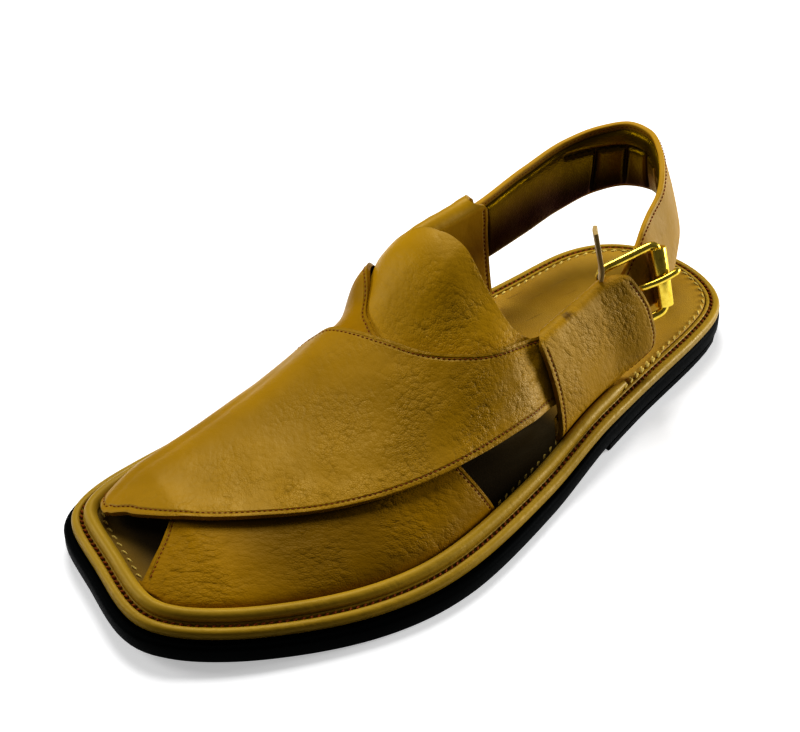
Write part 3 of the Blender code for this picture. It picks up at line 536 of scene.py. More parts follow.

# %% [markdown]
# The strap's lining is a thin glossy brown skin over foam. It puckers along its quilted seams, so the
# bump is long, soft and stretched down the strap, with a tight crinkle on top. A painted highlight
# brightens the skin towards its upper rim, and painted shade darkens the sewn channels. The lining
# carries its distance to them as `channel`. The inner faces of panels and ear carry none, which makes
# them dark all over: a dark brown lining, darkened further by painted shade inside the shoe.

# %% Lining
def lining_skin(name, dark, light):
    skin = Finish(name, Metallic=0.75, Specular_IOR_Level=0.05, Specular_Tint=(0.62, 0.46, 0.11, 1.0))
    where = skin.place()
    tall = skin.node("Mapping", {}, Vector=where, Scale=(1.0, 1.0, 0.7))
    pucker = skin.noise(tall, 6.0, 3.0, 0.5)
    crinkle = skin.cells(skin.stir(where, 2.0, 0.8), 1.1, "DISTANCE_TO_EDGE").within(0.0, 0.3)
    channel = skin.own("channel")
    shade = skin.mix(pucker.within(0.3, 0.7), dark, light)
    # Painted highlight: the skin is lit up towards its upper rim.
    shade = skin.mix(skin.axis(where, 2).within(0.045, 0.067), shade, dim(light, 11.0))
    # Painted shade in the sewn channels; faces without `channel` get it all over.
    shade = skin.mix(channel.within(0.0, 1.1, 0.75, 0.0), shade, rgb(26, 16, 3))
    relief = pucker * 0.16 + crinkle * 0.05
    rough = pucker.within(0.3, 0.7, 0.28, 0.40)
    return skin.give(Base_Color=shade, Roughness=rough, Normal=skin.bump(relief))


LINING_SKIN = lining_skin("lining_skin", rgb(20, 14, 0), rgb(32, 23, 0))
INNER_SKIN = lining_skin("inner_skin", rgb(40, 26, 4), rgb(58, 40, 8))
print("skins:", LINING_SKIN.name, "and", INNER_SKIN.name)

# %% [markdown]
# The sole is moulded rubber, almost black with a cold tint. Rubber is never quite clean or even: a fine
# mould texture and slightly paler scuffs keep it from looking like a flat black hole. The brass is
# polished, with hairlines and darker worn places, and the thread shows the slanting ridges of its strands.

# %% Rubber, brass and thread
def rubber():
    black = Finish("sole_rubber", Specular_IOR_Level=0.015)
    where = black.place()
    fine = black.noise(where, 0.5, 3.0, 0.6)
    scuff = black.noise(where, 7.0, 4.0, 0.65).within(0.52, 0.75)
    shade = black.mix(scuff * 0.5, rgb(3, 5, 5), rgb(9, 12, 12))
    relief = fine * 0.08 + scuff * 0.05
    rough = fine.within(0.3, 0.7, 0.42, 0.62)
    return black.give(Base_Color=shade, Roughness=rough, Normal=black.bump(relief))


def brass():
    metal = Finish("buckle_brass", Metallic=0.9, Specular_Tint=(1.0, 0.85, 0.45, 1.0))
    where = metal.place()
    worn = metal.noise(where, 3.0, 4.0, 0.6)
    hair = metal.noise(metal.node("Mapping", {}, Vector=where, Scale=(1.0, 6.0, 1.0)), 1.0, 2.0)
    shade = metal.mix(worn.within(0.35, 0.7), rgb(240, 212, 86), rgb(216, 184, 60))
    rough = hair.within(0.3, 0.7, 0.17, 0.24)
    return metal.give(Base_Color=shade, Roughness=rough, Normal=metal.bump(hair * 0.004 + worn * 0.02))


def thread(name, base):
    """Waxed thread: three strands twisted together show as slanting ridges along each stitch."""
    yarn = Finish(name, Roughness=0.7, Specular_IOR_Level=0.08)
    where = yarn.place()
    lay = yarn.node("TexWave", {"wave_type": "BANDS", "bands_direction": "DIAGONAL"}, Vector=where,
                    Scale=1.0 / (2.4 * MM), Distortion=0.6, output=1)
    fuzz = yarn.noise(where, 0.4, 2.0)
    shade = yarn.mix(fuzz.within(0.3, 0.7), base, dim(base, 0.55))
    return yarn.give(Base_Color=shade, Normal=yarn.bump(lay * 0.12 + fuzz * 0.05))


RUBBER, BRASS = rubber(), brass()
DARK_THREAD = thread("dark_thread", rgb(146, 74, 24))
CREAM_THREAD = thread("cream_thread", rgb(244, 214, 112))
PAPER = Finish("table_white", Roughness=0.75, Emission_Color=(1.0, 1.0, 1.0, 1.0), Emission_Strength=0.36)
PAPER.give(Base_Color=PAPER.mix(PAPER.noise(PAPER.place(), 60.0), (0.90, 0.90, 0.90), (0.93, 0.93, 0.93)))
floor.data.materials.append(PAPER.material)
print("finishes:", len(bpy.data.materials))

# %% [markdown]
# A leather sheet starts as a flat grid, the cut piece on the bench, and every crossing of the grid is
# then laid on its place on the last. Operators that move whole selections can't follow a last, so this
# one step is done point by point. The wall and the rounded rim come from Solidify and Bevel.

# %% Laying a sheet or a tube
WELD = 0.00001


def pick(piece):
    """Makes a piece the active one and the only one selected."""
    deselect()
    piece.select_set(True)
    bpy.context.view_layer.objects.active = piece


def weld(distance=WELD, ends=False, turn_out=True):
    """Merges the active piece's doubles, and can close its open ends and turn its faces outwards."""
    bpy.ops.object.mode_set(mode="EDIT")
    bpy.ops.mesh.select_mode(type="VERT")
    bpy.ops.mesh.select_all(action="SELECT")
    bpy.ops.mesh.remove_doubles(threshold=distance)
    if ends:
        bpy.ops.mesh.select_all(action="DESELECT")
        bpy.ops.mesh.select_non_manifold()
        bpy.ops.mesh.fill_holes(sides=0)
        bpy.ops.mesh.select_all(action="SELECT")
    if turn_out:
        bpy.ops.mesh.normals_make_consistent(inside=False)
    bpy.ops.object.mode_set(mode="OBJECT")


def lay(name, points, round_row=False, ends=False):
    """A grid primitive laid at points (rows, columns, 3) in millimetres.

    round_row closes each row on itself, and ends closes the tube that this makes.
    """
    deselect()
    if round_row:
        points = np.concatenate([points, points[:, :1]], axis=1)
    rows, count = points.shape[:2]
    bpy.ops.mesh.primitive_grid_add(x_subdivisions=count - 1, y_subdivisions=rows - 1, size=1.0)
    piece = bpy.context.active_object
    piece.name = piece.data.name = name
    piece.data.vertices.foreach_set("co", (points * MM).reshape(-1))
    piece.data.update()
    if round_row:
        weld(ends=ends, turn_out=ends)
    return piece


def near_line(piece, line, attribute):
    """Writes each point's distance to a line, in millimetres, for the finish to read."""
    tree = KDTree(len(line))
    for i, point in enumerate(line):
        tree.insert(point, i)
    tree.balance()
    values = [tree.find(v.co / MM)[2] for v in piece.data.vertices]
    layer = piece.data.attributes.new(attribute, "FLOAT", "POINT")
    layer.data.foreach_set("value", values)


def mark(piece, border, seams=()):
    """Marks the distance to the border, and to the seams; without seams, to a point far away."""
    near_line(piece, border, "edge")
    near_line(piece, np.vstack([line for line, _ in seams] or [(0.0, 0.0, 900.0)]), "seam")


def wall(piece, thickness, rim=0.6, offset=-1.0, lined=0):
    """A leather wall with a rounded rim; lined gives its inner face a material of its own."""
    pick(piece)
    for _ in range(1 + lined):
        piece.data.materials.append(None)
    solid = piece.modifiers.new("wall", "SOLIDIFY")
    solid.thickness, solid.offset, solid.material_offset = thickness * MM, offset, lined
    bevel = piece.modifiers.new("rim", "BEVEL")
    bevel.width, bevel.segments = rim * MM, 3
    bevel.limit_method, bevel.angle_limit = "ANGLE", math.radians(55)
    for modifier in ("wall", "rim"):
        bpy.ops.object.modifier_apply(modifier=modifier)


def finish_piece(piece, material, slot, *nodes, angle=45.0, inside=None):
    """Smooth shading, material, body and the CAD nodes that the piece stands for."""
    pick(piece)
    bpy.ops.object.shade_smooth_by_angle(angle=math.radians(angle))
    index = np.zeros(len(piece.data.polygons), int)
    piece.data.polygons.foreach_get("material_index", index)
    piece.data.materials.clear()
    for layer in (material, inside)[:2 if inside else 1]:
        piece.data.materials.append(layer)
    piece.data.polygons.foreach_set("material_index", index)
    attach(piece, "root")
    if nodes:
        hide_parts(*nodes)
    print(piece.name, len(piece.data.polygons), "faces")
    return piece


print("doubles closer than", WELD / MM, "mm are merged")

# %% [markdown]
# Stitches are modelled once, as a small padded lozenge of thread, and then repeated along a seam. Each
# seam is one mesh. The lozenges dip at both ends, where the real thread goes down through its holes.

# %% One stitch, and a row of them
def one_stitch():
    """A stitch 1 long and 1 thick, along X."""
    deselect()
    bpy.ops.mesh.primitive_uv_sphere_add(segments=6, ring_count=6, radius=0.5)
    ball = bpy.context.active_object
    points = np.array([v.co for v in ball.data.vertices])[:, [2, 1, 0]]
    faces = [tuple(p.vertices)[::-1] for p in ball.data.polygons]
    bpy.data.objects.remove(ball, do_unlink=True)
    return points, faces


STITCH_POINTS, STITCH_FACES = one_stitch()
DIP = 0.35  # how far a stitch's ends go down, as a share of its thickness
HALF_LOOK = 0.4  # how far before and after a stitch its direction is read


def stitch_row(name, line, out, pitch, length, thick, lift, material, slot, skew=0.0):
    """Stitches along a line, out being the direction away from the leather at each of its points.

    skew turns each stitch out of the line by an angle, as a lock stitch lies.
    """
    travel = travelled(line)
    count = max(2, int(travel[-1] / pitch))
    marks = (np.arange(count) + 0.5) * travel[-1] / count

    def read(table, at):
        return np.stack([np.interp(at, travel, table[:, k]) for k in range(3)], axis=1)

    middle, up = read(line, marks), read(out, marks)
    run = unit(read(line, marks + HALF_LOOK) - read(line, marks - HALF_LOOK))
    up = unit(up - run * np.sum(up * run, axis=1)[:, None])
    along = run * math.cos(skew) + np.cross(up, run) * math.sin(skew)
    across = np.cross(up, along)
    x, y, z = STITCH_POINTS.T
    dip = -DIP * thick * (2 * x) ** 2
    points = (middle[:, None] + along[:, None] * (x * length)[:, None]
              + across[:, None] * (y * thick)[:, None] + up[:, None] * (z * thick + dip + lift)[:, None])
    size = len(STITCH_POINTS)
    faces = [tuple(k * size + i for i in face) for k in range(count) for face in STITCH_FACES]
    mesh = bpy.data.meshes.new(name)
    mesh.from_pydata((points.reshape(-1, 3) * MM).tolist(), [], faces)
    row = bpy.data.objects.new(name, mesh)
    bpy.context.scene.collection.objects.link(row)
    return finish_piece(row, material, slot, angle=180.0)


print("one stitch:", len(STITCH_POINTS), "points")

# %% [markdown]
# A sole layer is a flat plate first: a filled circle is laid on the outline, extruded to its thickness,
# and its edge is shaped by one small inset after another, which keeps the rounding even all the way
# round. Its two big faces are cut into triangles before the plate is bent to the sole's curve.

# %% A sole plate
def step_in(steps, way):
    """Insets the selected face and moves it up or down, once for each step."""
    for edge, rise in steps:
        bpy.ops.mesh.inset(thickness=edge * MM, depth=0.0, use_even_offset=True)
        bpy.ops.transform.translate(value=(0, 0, way * rise * MM))


def plate(name, outline, low, high, top_steps, foot_steps=()):
    """A plate bent to the sole's curve, its edges stepped in by insets and rises in millimetres."""
    deselect()
    bpy.ops.mesh.primitive_circle_add(vertices=len(outline), radius=1.0, fill_type="NGON")
    piece = bpy.context.active_object
    piece.name = piece.data.name = name
    flat = np.column_stack([outline[::-1], np.full(len(outline), low)])
    piece.data.vertices.foreach_set("co", (flat * MM).reshape(-1))
    piece.data.update()
    bpy.ops.object.mode_set(mode="EDIT")
    bpy.ops.mesh.select_mode(type="FACE")
    bpy.ops.mesh.select_all(action="SELECT")
    bpy.ops.mesh.normals_make_consistent(inside=False)
    bpy.ops.mesh.extrude_region_move(TRANSFORM_OT_translate={"value": (0, 0, (high - low) * MM)})
    step_in(top_steps, 1)
    if foot_steps:
        bpy.ops.mesh.select_all(action="DESELECT")
        bpy.ops.object.mode_set(mode="OBJECT")
        for face in piece.data.polygons:
            face.select = abs(face.normal.z) > 0.9 and abs(face.center.z - low * MM) < WELD
        bpy.ops.object.mode_set(mode="EDIT")
        bpy.ops.mesh.select_mode(type="FACE")
        step_in(foot_steps, -1)
    bpy.ops.mesh.select_all(action="SELECT")
    bpy.ops.mesh.normals_make_consistent(inside=False)
    bpy.ops.mesh.select_all(action="DESELECT")
    bpy.ops.mesh.select_face_by_sides(number=4, type="GREATER")
    bpy.ops.mesh.quads_convert_to_tris(quad_method="BEAUTY", ngon_method="BEAUTY")
    bpy.ops.object.mode_set(mode="OBJECT")
    places = np.empty(len(piece.data.vertices) * 3)
    piece.data.vertices.foreach_get("co", places)
    places = places.reshape(-1, 3)
    places[:, 2] += sole_lift(places[:, 1] / MM) * MM
    piece.data.vertices.foreach_set("co", places.reshape(-1))
    piece.data.update()
    return piece


def raised(outline, height):
    """An outline lifted to a height above the sole's underside."""
    return np.column_stack([outline, sole_lift(outline[:, 1]) + height])


outsole = plate("rubber_outsole", OUTSOLE, 1.0, 5.4,
                [(0.2, 0.5), (0.35, 0.5), (0.6, 0.4), (0.6, 0.15)], [(0.3, 0.45), (0.5, 0.35), (0.7, 0.2)])
finish_piece(outsole, RUBBER, "rubber_black", "outsole", angle=60.0)
heel_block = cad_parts["heel_block"]  # plain enough to stay as it was packed, in the same rubber
heel_block.data.materials.clear()
heel_block.data.materials.append(RUBBER)

# %% [markdown]
# The welt is a strip of tan leather round the whole sole. Its outer edge is rounded like a cord, then
# comes a narrow channel where the dark lock stitches sink in, then the ledge that the upper sits on, and
# last the step down to the recess of the insole.

# %% Welt and its stitches
# Each step is an inset and a rise, going inwards from the edge.
CORD = [(0.10, 0.55), (0.22, 0.50), (0.38, 0.42), (0.50, 0.26), (0.60, 0.10), (0.60, 0.0)]
CHANNEL = [(0.35, -0.18), (0.20, -0.55), (0.15, -0.35), (0.45, -0.05),
           (0.45, 0.05), (0.15, 0.35), (0.20, 0.55), (0.35, 0.15)]
LEDGE = [(0.9, 0.0), (0.2, -2.9)]
UNDER_EDGE = [(0.25, 0.35), (0.35, 0.30), (0.5, 0.20)]
CHANNEL_INSET, LEDGE_INSET, NO_BORDER = 3.15, 5.5, -3.0
LOCK_STITCH = (2.6, 2.1, 0.95, 0.40)  # pitch, length, thickness and lift


def sole_stitches(name, line, height, size, skew, material, slot):
    """Upright stitches on a layer of the sole; size is their pitch, length, thickness and lift."""
    seam = raised(line, height)
    up = np.tile((0.0, 0.0, 1.0), (len(seam), 1))
    return stitch_row(name, seam, up, *size, material, slot, skew=skew)


welt = plate("stitched_welt", inset(WELT, -0.4), WELT_BASE + 0.9, WELT_BASE + 2.1, CORD + CHANNEL + LEDGE,
             UNDER_EDGE)
channel = inset(WELT, CHANNEL_INSET)
# The seam lines are the stitch channel and the joint with the insole; the welt's finish paints shade along
# both.
mark(welt, raised(inset(WELT, NO_BORDER), WELT_BASE),  # so far out that no edge is darkened
     [(raised(channel, WELT_TOP - 0.9), None), (raised(inset(WELT, LEDGE_INSET), WELT_TOP), None)])
finish_piece(welt, WELT_LEATHER, "leather_tan", "welt", angle=60.0)
sole_stitches("welt_stitches", np.vstack([channel, channel[:1]]), WELT_TOP - 1.0, LOCK_STITCH, 0.55,
              DARK_THREAD, "leather_tan")

# %% [markdown]
# The insole drops into the welt's ledge. It is one flat plate with a softly rounded edge, and a light
# thread runs close to that edge wherever the foot bed can be seen. Beside the buckle, bigger loops of the
# same thread cross the joint between the insole and the welt.

# %% Insole and its stitches
insole = plate("insole_board", inset(WELT, 5.6), WELT_TOP - 2.4, WELT_TOP - 0.7,
               [(0.15, 0.35), (0.3, 0.25), (0.5, 0.10)])
finish_piece(insole, INSOLE_LEATHER, "leather_insole", "insole", angle=60.0)
SMALL_STITCH, LOOP_STITCH = (4.2, 3.1, 0.9, 0.22), (4.0, 3.6, 1.3, 0.35)
heel_end = int(np.argmax(WELT[:HALF, 1] < -60.0))
heel_seam, side_seam = inset(WELT, 6.6), inset(WELT, 10.6)
heel_line = np.vstack([heel_seam[-heel_end - 8:], heel_seam[:heel_end]])
joint = inset(WELT, LEDGE_INSET)[:HALF]
for name, line, size, skew in (
        ("insole_stitches_heel", heel_line, SMALL_STITCH, 0.35),
        ("insole_stitches_toe", side_seam[HALF - 46:HALF + 40], SMALL_STITCH, 0.35),
        ("insole_stitches_side", side_seam[heel_end + 4:HALF - 72], SMALL_STITCH, 0.35),
        ("joint_loops", joint[(joint[:, 1] < -20.0) & (joint[:, 1] > -62.0)], LOOP_STITCH, 0.3)):
    sole_stitches(name, line, WELT_TOP, size, skew, CREAM_THREAD, "leather_insole")

# %% [markdown]
# The bead is a strip of leather rolled round a cord, which hides the joint between upper and welt. A
# closed ring of points is carried along its line and its ends are closed, because each ring can then be
# set square to the welt's edge and at the sole's own height there.

# %% Rolled bead
BEAD_INSET, BEAD_WIDTH, BEAD_HEIGHT, BEAD_END, BEAD_RING = 6.4, 4.8, 3.0, -46.0, 18


def bead_rings():
    """Rings across the bead, nearly flat underneath and smaller at both ends."""
    path = inset(WELT, BEAD_INSET)
    start = int(np.argmax(path[:HALF, 1] < BEAD_END))
    stop = HALF + int(np.argmax(path[HALF:, 1] > BEAD_END))
    path = path[start:stop]
    run = np.gradient(path, axis=0)
    side = unit(np.stack([run[:, 1], -run[:, 0]], axis=1))
    turn = np.linspace(0.0, 2 * np.pi, BEAD_RING, endpoint=False)
    across = -np.cos(turn) * 0.5 * BEAD_WIDTH
    round_up = np.abs(np.sin(turn))
    up = np.where(np.sin(turn) > 0, round_up**0.85, -0.12 * round_up) * BEAD_HEIGHT
    ends = np.minimum(np.arange(len(path)), np.arange(len(path))[::-1])
    grow = 0.55 + 0.45 * ease(ends / 4.0)
    flat = path[:, None] + side[:, None] * (across[None] * grow[:, None])[..., None]
    rise = sole_lift(path[:, 1])[:, None] + FOOTBED - 0.15 + up[None] * grow[:, None] + 0.36
    return np.concatenate([flat, rise[..., None]], axis=2)


BEAD = bead_rings()
bead = lay("rolled_bead", BEAD, round_row=True, ends=True)
mark(bead, BEAD[:, 4] + (0, 0, 30.0))  # a border far above, because the roll shows no edge
finish_piece(bead, WELT_LEATHER, "leather_tan", "bead", angle=70.0)

# %% [markdown]
# The upper is cut in five pieces: a wide over panel that comes from the inner side across the toes to
# the outer ear, an under panel that crosses it the other way, a tongue over the instep, and an ear on
# each side that holds the back strap. The panels are drawn on the last by tables of their long edges.

# %% Patterns of the three panels
OVER_PANEL = [  # station, front_y, front_turn, rear_y, rear_turn
    (0.00, -226, 0.998, -152, 0.998), (0.08, -231, 0.900, -149, 0.880), (0.16, -234.5, 0.800, -144, 0.775),
    (0.23, -236.3, 0.700, -139, 0.680), (0.29, -235.8, 0.640, -136.6, 0.610),
    (0.37, -234.7, 0.560, -134.6, 0.526),
    (0.41, -232.4, 0.504, -133.0, 0.488), (0.45, -228.8, 0.466, -131.4, 0.455),
    (0.53, -219, 0.396, -128.4, 0.410), (0.63, -192, 0.295, -124, 0.355),
    (0.74, -160, 0.213, -116.2, 0.298), (0.86, -124, 0.139, -104, 0.243), (1.00, -80, 0.068, -80, 0.192),
]
UNDER_PANEL = [
    (0.00, -242.0, 0.000, -128, 0.000), (0.10, -245.0, 0.110, -132, 0.070),
    (0.19, -245.0, 0.200, -135, 0.140), (0.27, -243.0, 0.285, -137, 0.200),
    (0.36, -238.3, 0.349, -138, 0.280), (0.45, -232.0, 0.394, -136, 0.360),
    (0.54, -225.0, 0.432, -130.5, 0.445), (0.66, -206.0, 0.510, -125.5, 0.535),
    (0.79, -185.0, 0.640, -112.0, 0.655), (0.90, -166.0, 0.840, -101.5, 0.790),
    (1.00, -150, 0.994, -94, 0.994),
]
TONGUE = [
    (0.00, -106, 0.180, -80, 0.178), (0.15, -122, 0.240, -90, 0.235), (0.35, -140, 0.330, -92, 0.330),
    (0.50, -148, 0.430, -91, 0.420), (0.65, -148, 0.530, -94, 0.520), (0.80, -138, 0.640, -100, 0.610),
    (1.00, -125, 0.720, -106, 0.690),
]
LEATHER_WALL = 1.9


def pattern(table, across, along):
    """y, turn and share over a panel; share runs from 0 at its front edge to 1 at its rear edge."""
    marks = np.linspace(0.0, 1.0, across)
    knots = column(table, 0)
    front_y, front_turn, rear_y, rear_turn = (
        read_curve(knots, column(table, k), marks) for k in (1, 2, 3, 4))
    share = np.linspace(0.0, 1.0, along)[:, None]
    y = front_y + (rear_y - front_y) * share
    turn = np.clip(front_turn + (rear_turn - front_turn) * share, 0.0, 1.0)
    return y, turn, share


def tuck(y, turn):
    """How far a layer dips to pass inside the outer ear."""
    return ease((y + 102.0) / 15.0) * ease((0.30 - turn) / 0.10)


def outwards(points):
    """Direction out of the leather at each point of a sheet."""
    normal = np.cross(np.gradient(points, axis=1), np.gradient(points, axis=0))
    return normal / np.maximum(np.linalg.norm(normal, axis=-1), 1e-9)[..., None]


def seam_line(points, distance, side):
    """The line at a distance inside a sheet's front or rear edge, with the way out of the leather."""
    normals = outwards(points)
    if side == "rear":
        points, normals = points[::-1], normals[::-1]
    line, out = [], []
    for k in range(points.shape[1]):
        travel = travelled(points[:, k])
        at = min(distance, travel[-1] * 0.5)
        line.append([np.interp(at, travel, points[:, k, i]) for i in range(3)])
        out.append([np.interp(at, travel, normals[:, k, i]) for i in range(3)])
    return np.array(line), np.array(out)


FINE = (1.85, 1.5, 0.5, 0.0)  # pitch, length, thickness and lift of the upper's stitches
print("stations of the panels:", len(OVER_PANEL), len(UNDER_PANEL), len(TONGUE))

# %% [markdown]
# Real leather never lies dead flat. Small soft swells from a few sine waves are added to each panel, and
# deeper folds gather where a strap of leather is squeezed, as beside the outer ear.

# %% The three panels
def swells(points, size, depth, seed):
    """Soft unevenness over a sheet, in millimetres."""
    chance = np.random.default_rng(seed)
    total = np.zeros(points.shape[:2])
    for k in range(5):
        way = chance.normal(size=3)
        way /= np.linalg.norm(way)
        total += np.sin(points @ way * (2 * np.pi / (size * (0.7 + 0.25 * k))) + chance.uniform(0, 6.28))
    return total * depth / 3.0


def uneven(flat, size, depth, seed, folds=0.0):
    """A sheet with its swells and folds."""
    return flat + outwards(flat) * (swells(flat, size, depth, seed) + folds)[..., None]


def over_points():
    """Lies outermost; its toe edge stands off, and its outer end dips into the ear and gathers in folds."""
    y, turn, share = pattern(OVER_PANEL, 221, 81)
    joined = ease((turn - 0.66) / 0.10)
    free = (1.0 - joined) * ease((0.30 - share) / 0.30)
    swell = 1.3 * joined * ease((0.98 - turn) / 0.10)
    depth = -swell - 0.9 * free + 2.1 * tuck(y, turn)
    flat = last_inside(y, turn, depth)
    squeezed = ease((y + 150.0) / 60.0) * ease((0.45 - turn) / 0.15)
    folds = 0.12 * squeezed * np.sin((turn * 150.0 + y * 0.06) * 1.1)
    return uneven(flat, 46.0, 0.30, 3, folds)


def under_points():
    """Lies deeper than the over panel, but rises where nothing covers it on the inner side."""
    y, turn, _ = pattern(UNDER_PANEL, 201, 71)
    bare = ease((turn - 0.55) / 0.15) * ease((0.98 - turn) / 0.10) * ease((y + 130.0) / 15.0)
    shoulder = ease((turn - 0.52) / 0.08) * ease((0.90 - turn) / 0.12) * ease((y + 126.0) / 14.0)
    away = ease((turn - 0.015) / 0.2) * ease((y + 246.0) / 22.0)  # from the foot line and the toe edge
    depth = 2.2 * away * (1.0 - 1.6 * bare) - 2.0 * shoulder
    return uneven(last_inside(y, turn, depth)[:, ::-1], 40.0, 0.22, 5)


def tongue_points():
    """Lies deepest at its front, under both panels, and rises over the instep behind them."""
    y, turn, share = pattern(TONGUE, 141, 61)
    free = ease((share - 0.28) / 0.6) * ease((turn - 0.30) / 0.12) * ease((0.73 - turn) / 0.08)
    depth = 4.0 - 5.2 * free + 1.3 * tuck(y, turn)
    return uneven(last_inside(y, turn, depth)[:, ::-1], 38.0, 0.25, 8)


OVER, UNDER, TONGUE_SHEET = over_points(), under_points(), tongue_points()
for name, points, sewn in (("over_panel", OVER, (("front", 2.7), ("rear", 1.9))),
                           ("under_panel", UNDER, (("front", 2.3), ("rear", 1.9))),
                           ("tongue_panel", TONGUE_SHEET, ())):
    sheet = lay(name, points)
    seams = [seam_line(points, distance, side) for side, distance in sewn]
    if name == "under_panel":  # its front seam stops before the outer foot line
        seams[0] = tuple(part[:150] for part in seams[0])
    mark(sheet, np.vstack([points[0], points[-1]]), seams)
    wall(sheet, LEATHER_WALL, lined=1)
    finish_piece(sheet, HIDES[name], "leather_tan", "upper", inside=INNER_SKIN)
    for k, (line, out) in enumerate(seams):
        stitch_row(f"{name}_stitches_{k}", line[2:-2], out[2:-2], *FINE, DARK_THREAD, "leather_tan")

# %% [markdown]
# An ear is a broad tab of leather that leaves the sole, folds over the back strap and comes down again
# inside. It is laid as rings that run up the outer face, over the fold and down the inner face. The
# outer ear swells over the buckle's hidden hinge and creases below its fold.

# %% The two ears
EAR_HALF, EAR_DEPTH = 3.9, 2.4  # half the space between an ear's faces, and how deep its middle lies
FACE, BEND, EAR_ROWS = 64, 22, 60  # points up a face and round the fold, and rings from front to rear
FOLD = 0.10  # how much of an ear's height its round fold takes
OUTER_EAR_REAR = [  # height, outer_y, inner_y
    (0.00, -45.0, -50.0), (0.08, -38.5, -48.0), (0.20, -30.8, -47.0), (0.32, -29.6, -46.0),
    (0.60, -32.0, -46.0), (0.80, -35.5, -48.0), (1.00, -39.5, -50.0),
]
INNER_EAR_REAR = [
    (0.00, -53.0, -53.0), (0.40, -53.0, -53.0), (0.70, -54.0, -54.0), (0.85, -57.0, -55.5),
    (0.95, -61.0, -58.0), (1.00, -64.0, -61.0),
]


def ear_rings(foot_turn, top_turn, front, rear_table, bulge, bulge_span, crease):
    """Rings up the outer face, over a round fold and down the inner face, from front to rear.

    front holds the outer and the inner face's front edge; bulge_span is where the bulge starts and
    over what length it grows.
    """
    face = np.linspace(0.0, 1.0 - FOLD, FACE)
    bend = np.linspace(0.0, np.pi, BEND)[1:-1]
    height = np.concatenate([face, 1.0 - FOLD + FOLD * np.sin(bend), face[::-1]])
    across = np.concatenate([np.ones(FACE), np.cos(bend), -np.ones(FACE)])
    middle = EAR_DEPTH + (1.0 - ease(height / 0.12)) * (EAR_HALF - EAR_DEPTH)
    turn = foot_turn + (top_turn - foot_turn) * height
    knots = column(rear_table, 0)
    rear_outer, rear_inner = (np.interp(height, knots, column(rear_table, k)) for k in (1, 2))
    rear = rear_inner + (rear_outer - rear_inner) * (0.5 + 0.5 * across)
    first = front[1] + (front[0] - front[1]) * (0.5 + 0.5 * across)
    y = first + (rear - first) * np.linspace(0.0, 1.0, EAR_ROWS)[:, None]
    start, length = bulge_span
    swell = bulge * ease((y - start) / length) * np.clip(across, 0.0, 1.0) * ease(height / 0.25)
    top = np.exp(-((height - 0.80) / 0.13) ** 2) * (across > 0)
    swell = swell + crease * top * np.sin(y * 0.85 + height * 14.0) * ease((y - front[0] - 6.0) / 8.0)
    return last_inside(y, turn, middle - across * EAR_HALF - swell)


OUTER_EAR = ear_rings(0.0, 0.205, (-87.0, -78.0), OUTER_EAR_REAR, 4.9, (-53.0, 21.0), 0.07)
INNER_EAR = ear_rings(1.0, 0.670, (-102.0, -102.0), INNER_EAR_REAR, 1.2, (-75.0, 20.0), 0.15)
EAR_FINISHES = {
    "outer_ear": (EAR_LEATHER, INNER_SKIN),
    "inner_ear": (INNER_EAR_LEATHER, INNER_EAR_LEATHER),
}
for name, points in (("outer_ear", OUTER_EAR), ("inner_ear", INNER_EAR)):
    middle = points.mean(axis=(0, 1))  # its faces have to point away from here
    if np.sum(outwards(points)[:, 20:50] * (points[:, 20:50] - middle)) < 0:
        points = points[:, ::-1]
    ear = lay(name, points, round_row=True)
    faces = (points[:, 4:FACE - 2], points[:, 2 - FACE:-4])
    seams = [seam_line(face, 1.9, side) for face in faces for side in ("front", "rear")]
    mark(ear, np.vstack([points[0], points[-1]]), seams)
    wall(ear, LEATHER_WALL, lined=1)
    hide, inside = EAR_FINISHES[name]
    finish_piece(ear, hide, "leather_tan", "upper", inside=inside)
    for k, (line, out) in enumerate(seams):
        stitch_row(f"{name}_stitches_{k}", line, out, *FINE, DARK_THREAD, "leather_tan")

# %% [markdown]
# The back strap runs from inside the inner ear, round the heel and through the buckle into the outer
# ear. It is a flat band, so it is laid between its two edges and bowed a little across its width.

# %% Strap line
HINGE_TOP, HINGE_FOOT = np.array((22.8, -43.3, 53.5)), np.array((31.5, -43.5, 33.0))
ROLLER_TOP, ROLLER_FOOT = np.array((29.5, -21.0, 60.0)), np.array((37.5, -22.0, 39.0))
STRAP_LOOP = [  # top_x, top_y, top_z, foot_x, foot_y, foot_z
    (-37.0, -26, 66.8, -37.5, -24, 35.2), (-38.5, -3, 69.8, -39.5, -3, 37.0),
    (-34.0, 12, 72.8, -36.0, 13, 41.0), (-25.5, 20, 75.6, -28.0, 23, 44.4),
    (-15.0, 20, 76.4, -17.0, 27, 46.2), (-3.0, 13, 75.8, -2.0, 23, 46.5),
    (7.0, 4, 73.4, 11.0, 13, 45.0), (12.5, -3, 70.0, 20.0, 2, 42.5),
    (17.5, -14.0, 66.5, 27.5, -9, 39.5), (21.3, -21.5, 63.6, 32.6, -20.5, 38.1),
    (23.4, -26.0, 60.0, 33.2, -26.2, 37.6), (24.7, -30.4, 56.8, 33.8, -31.6, 37.0),
]
# Inside the ears the strap follows the last: y, turn at its top edge, turn at its foot edge.
STRAP_IN_INNER_EAR = [(-90, 0.724, 0.895), (-76, 0.722, 0.895), (-62, 0.720, 0.895)]
STRAP_IN_EAR = [(-53, 0.168, 0.078), (-64, 0.165, 0.075), (-75, 0.163, 0.073)]


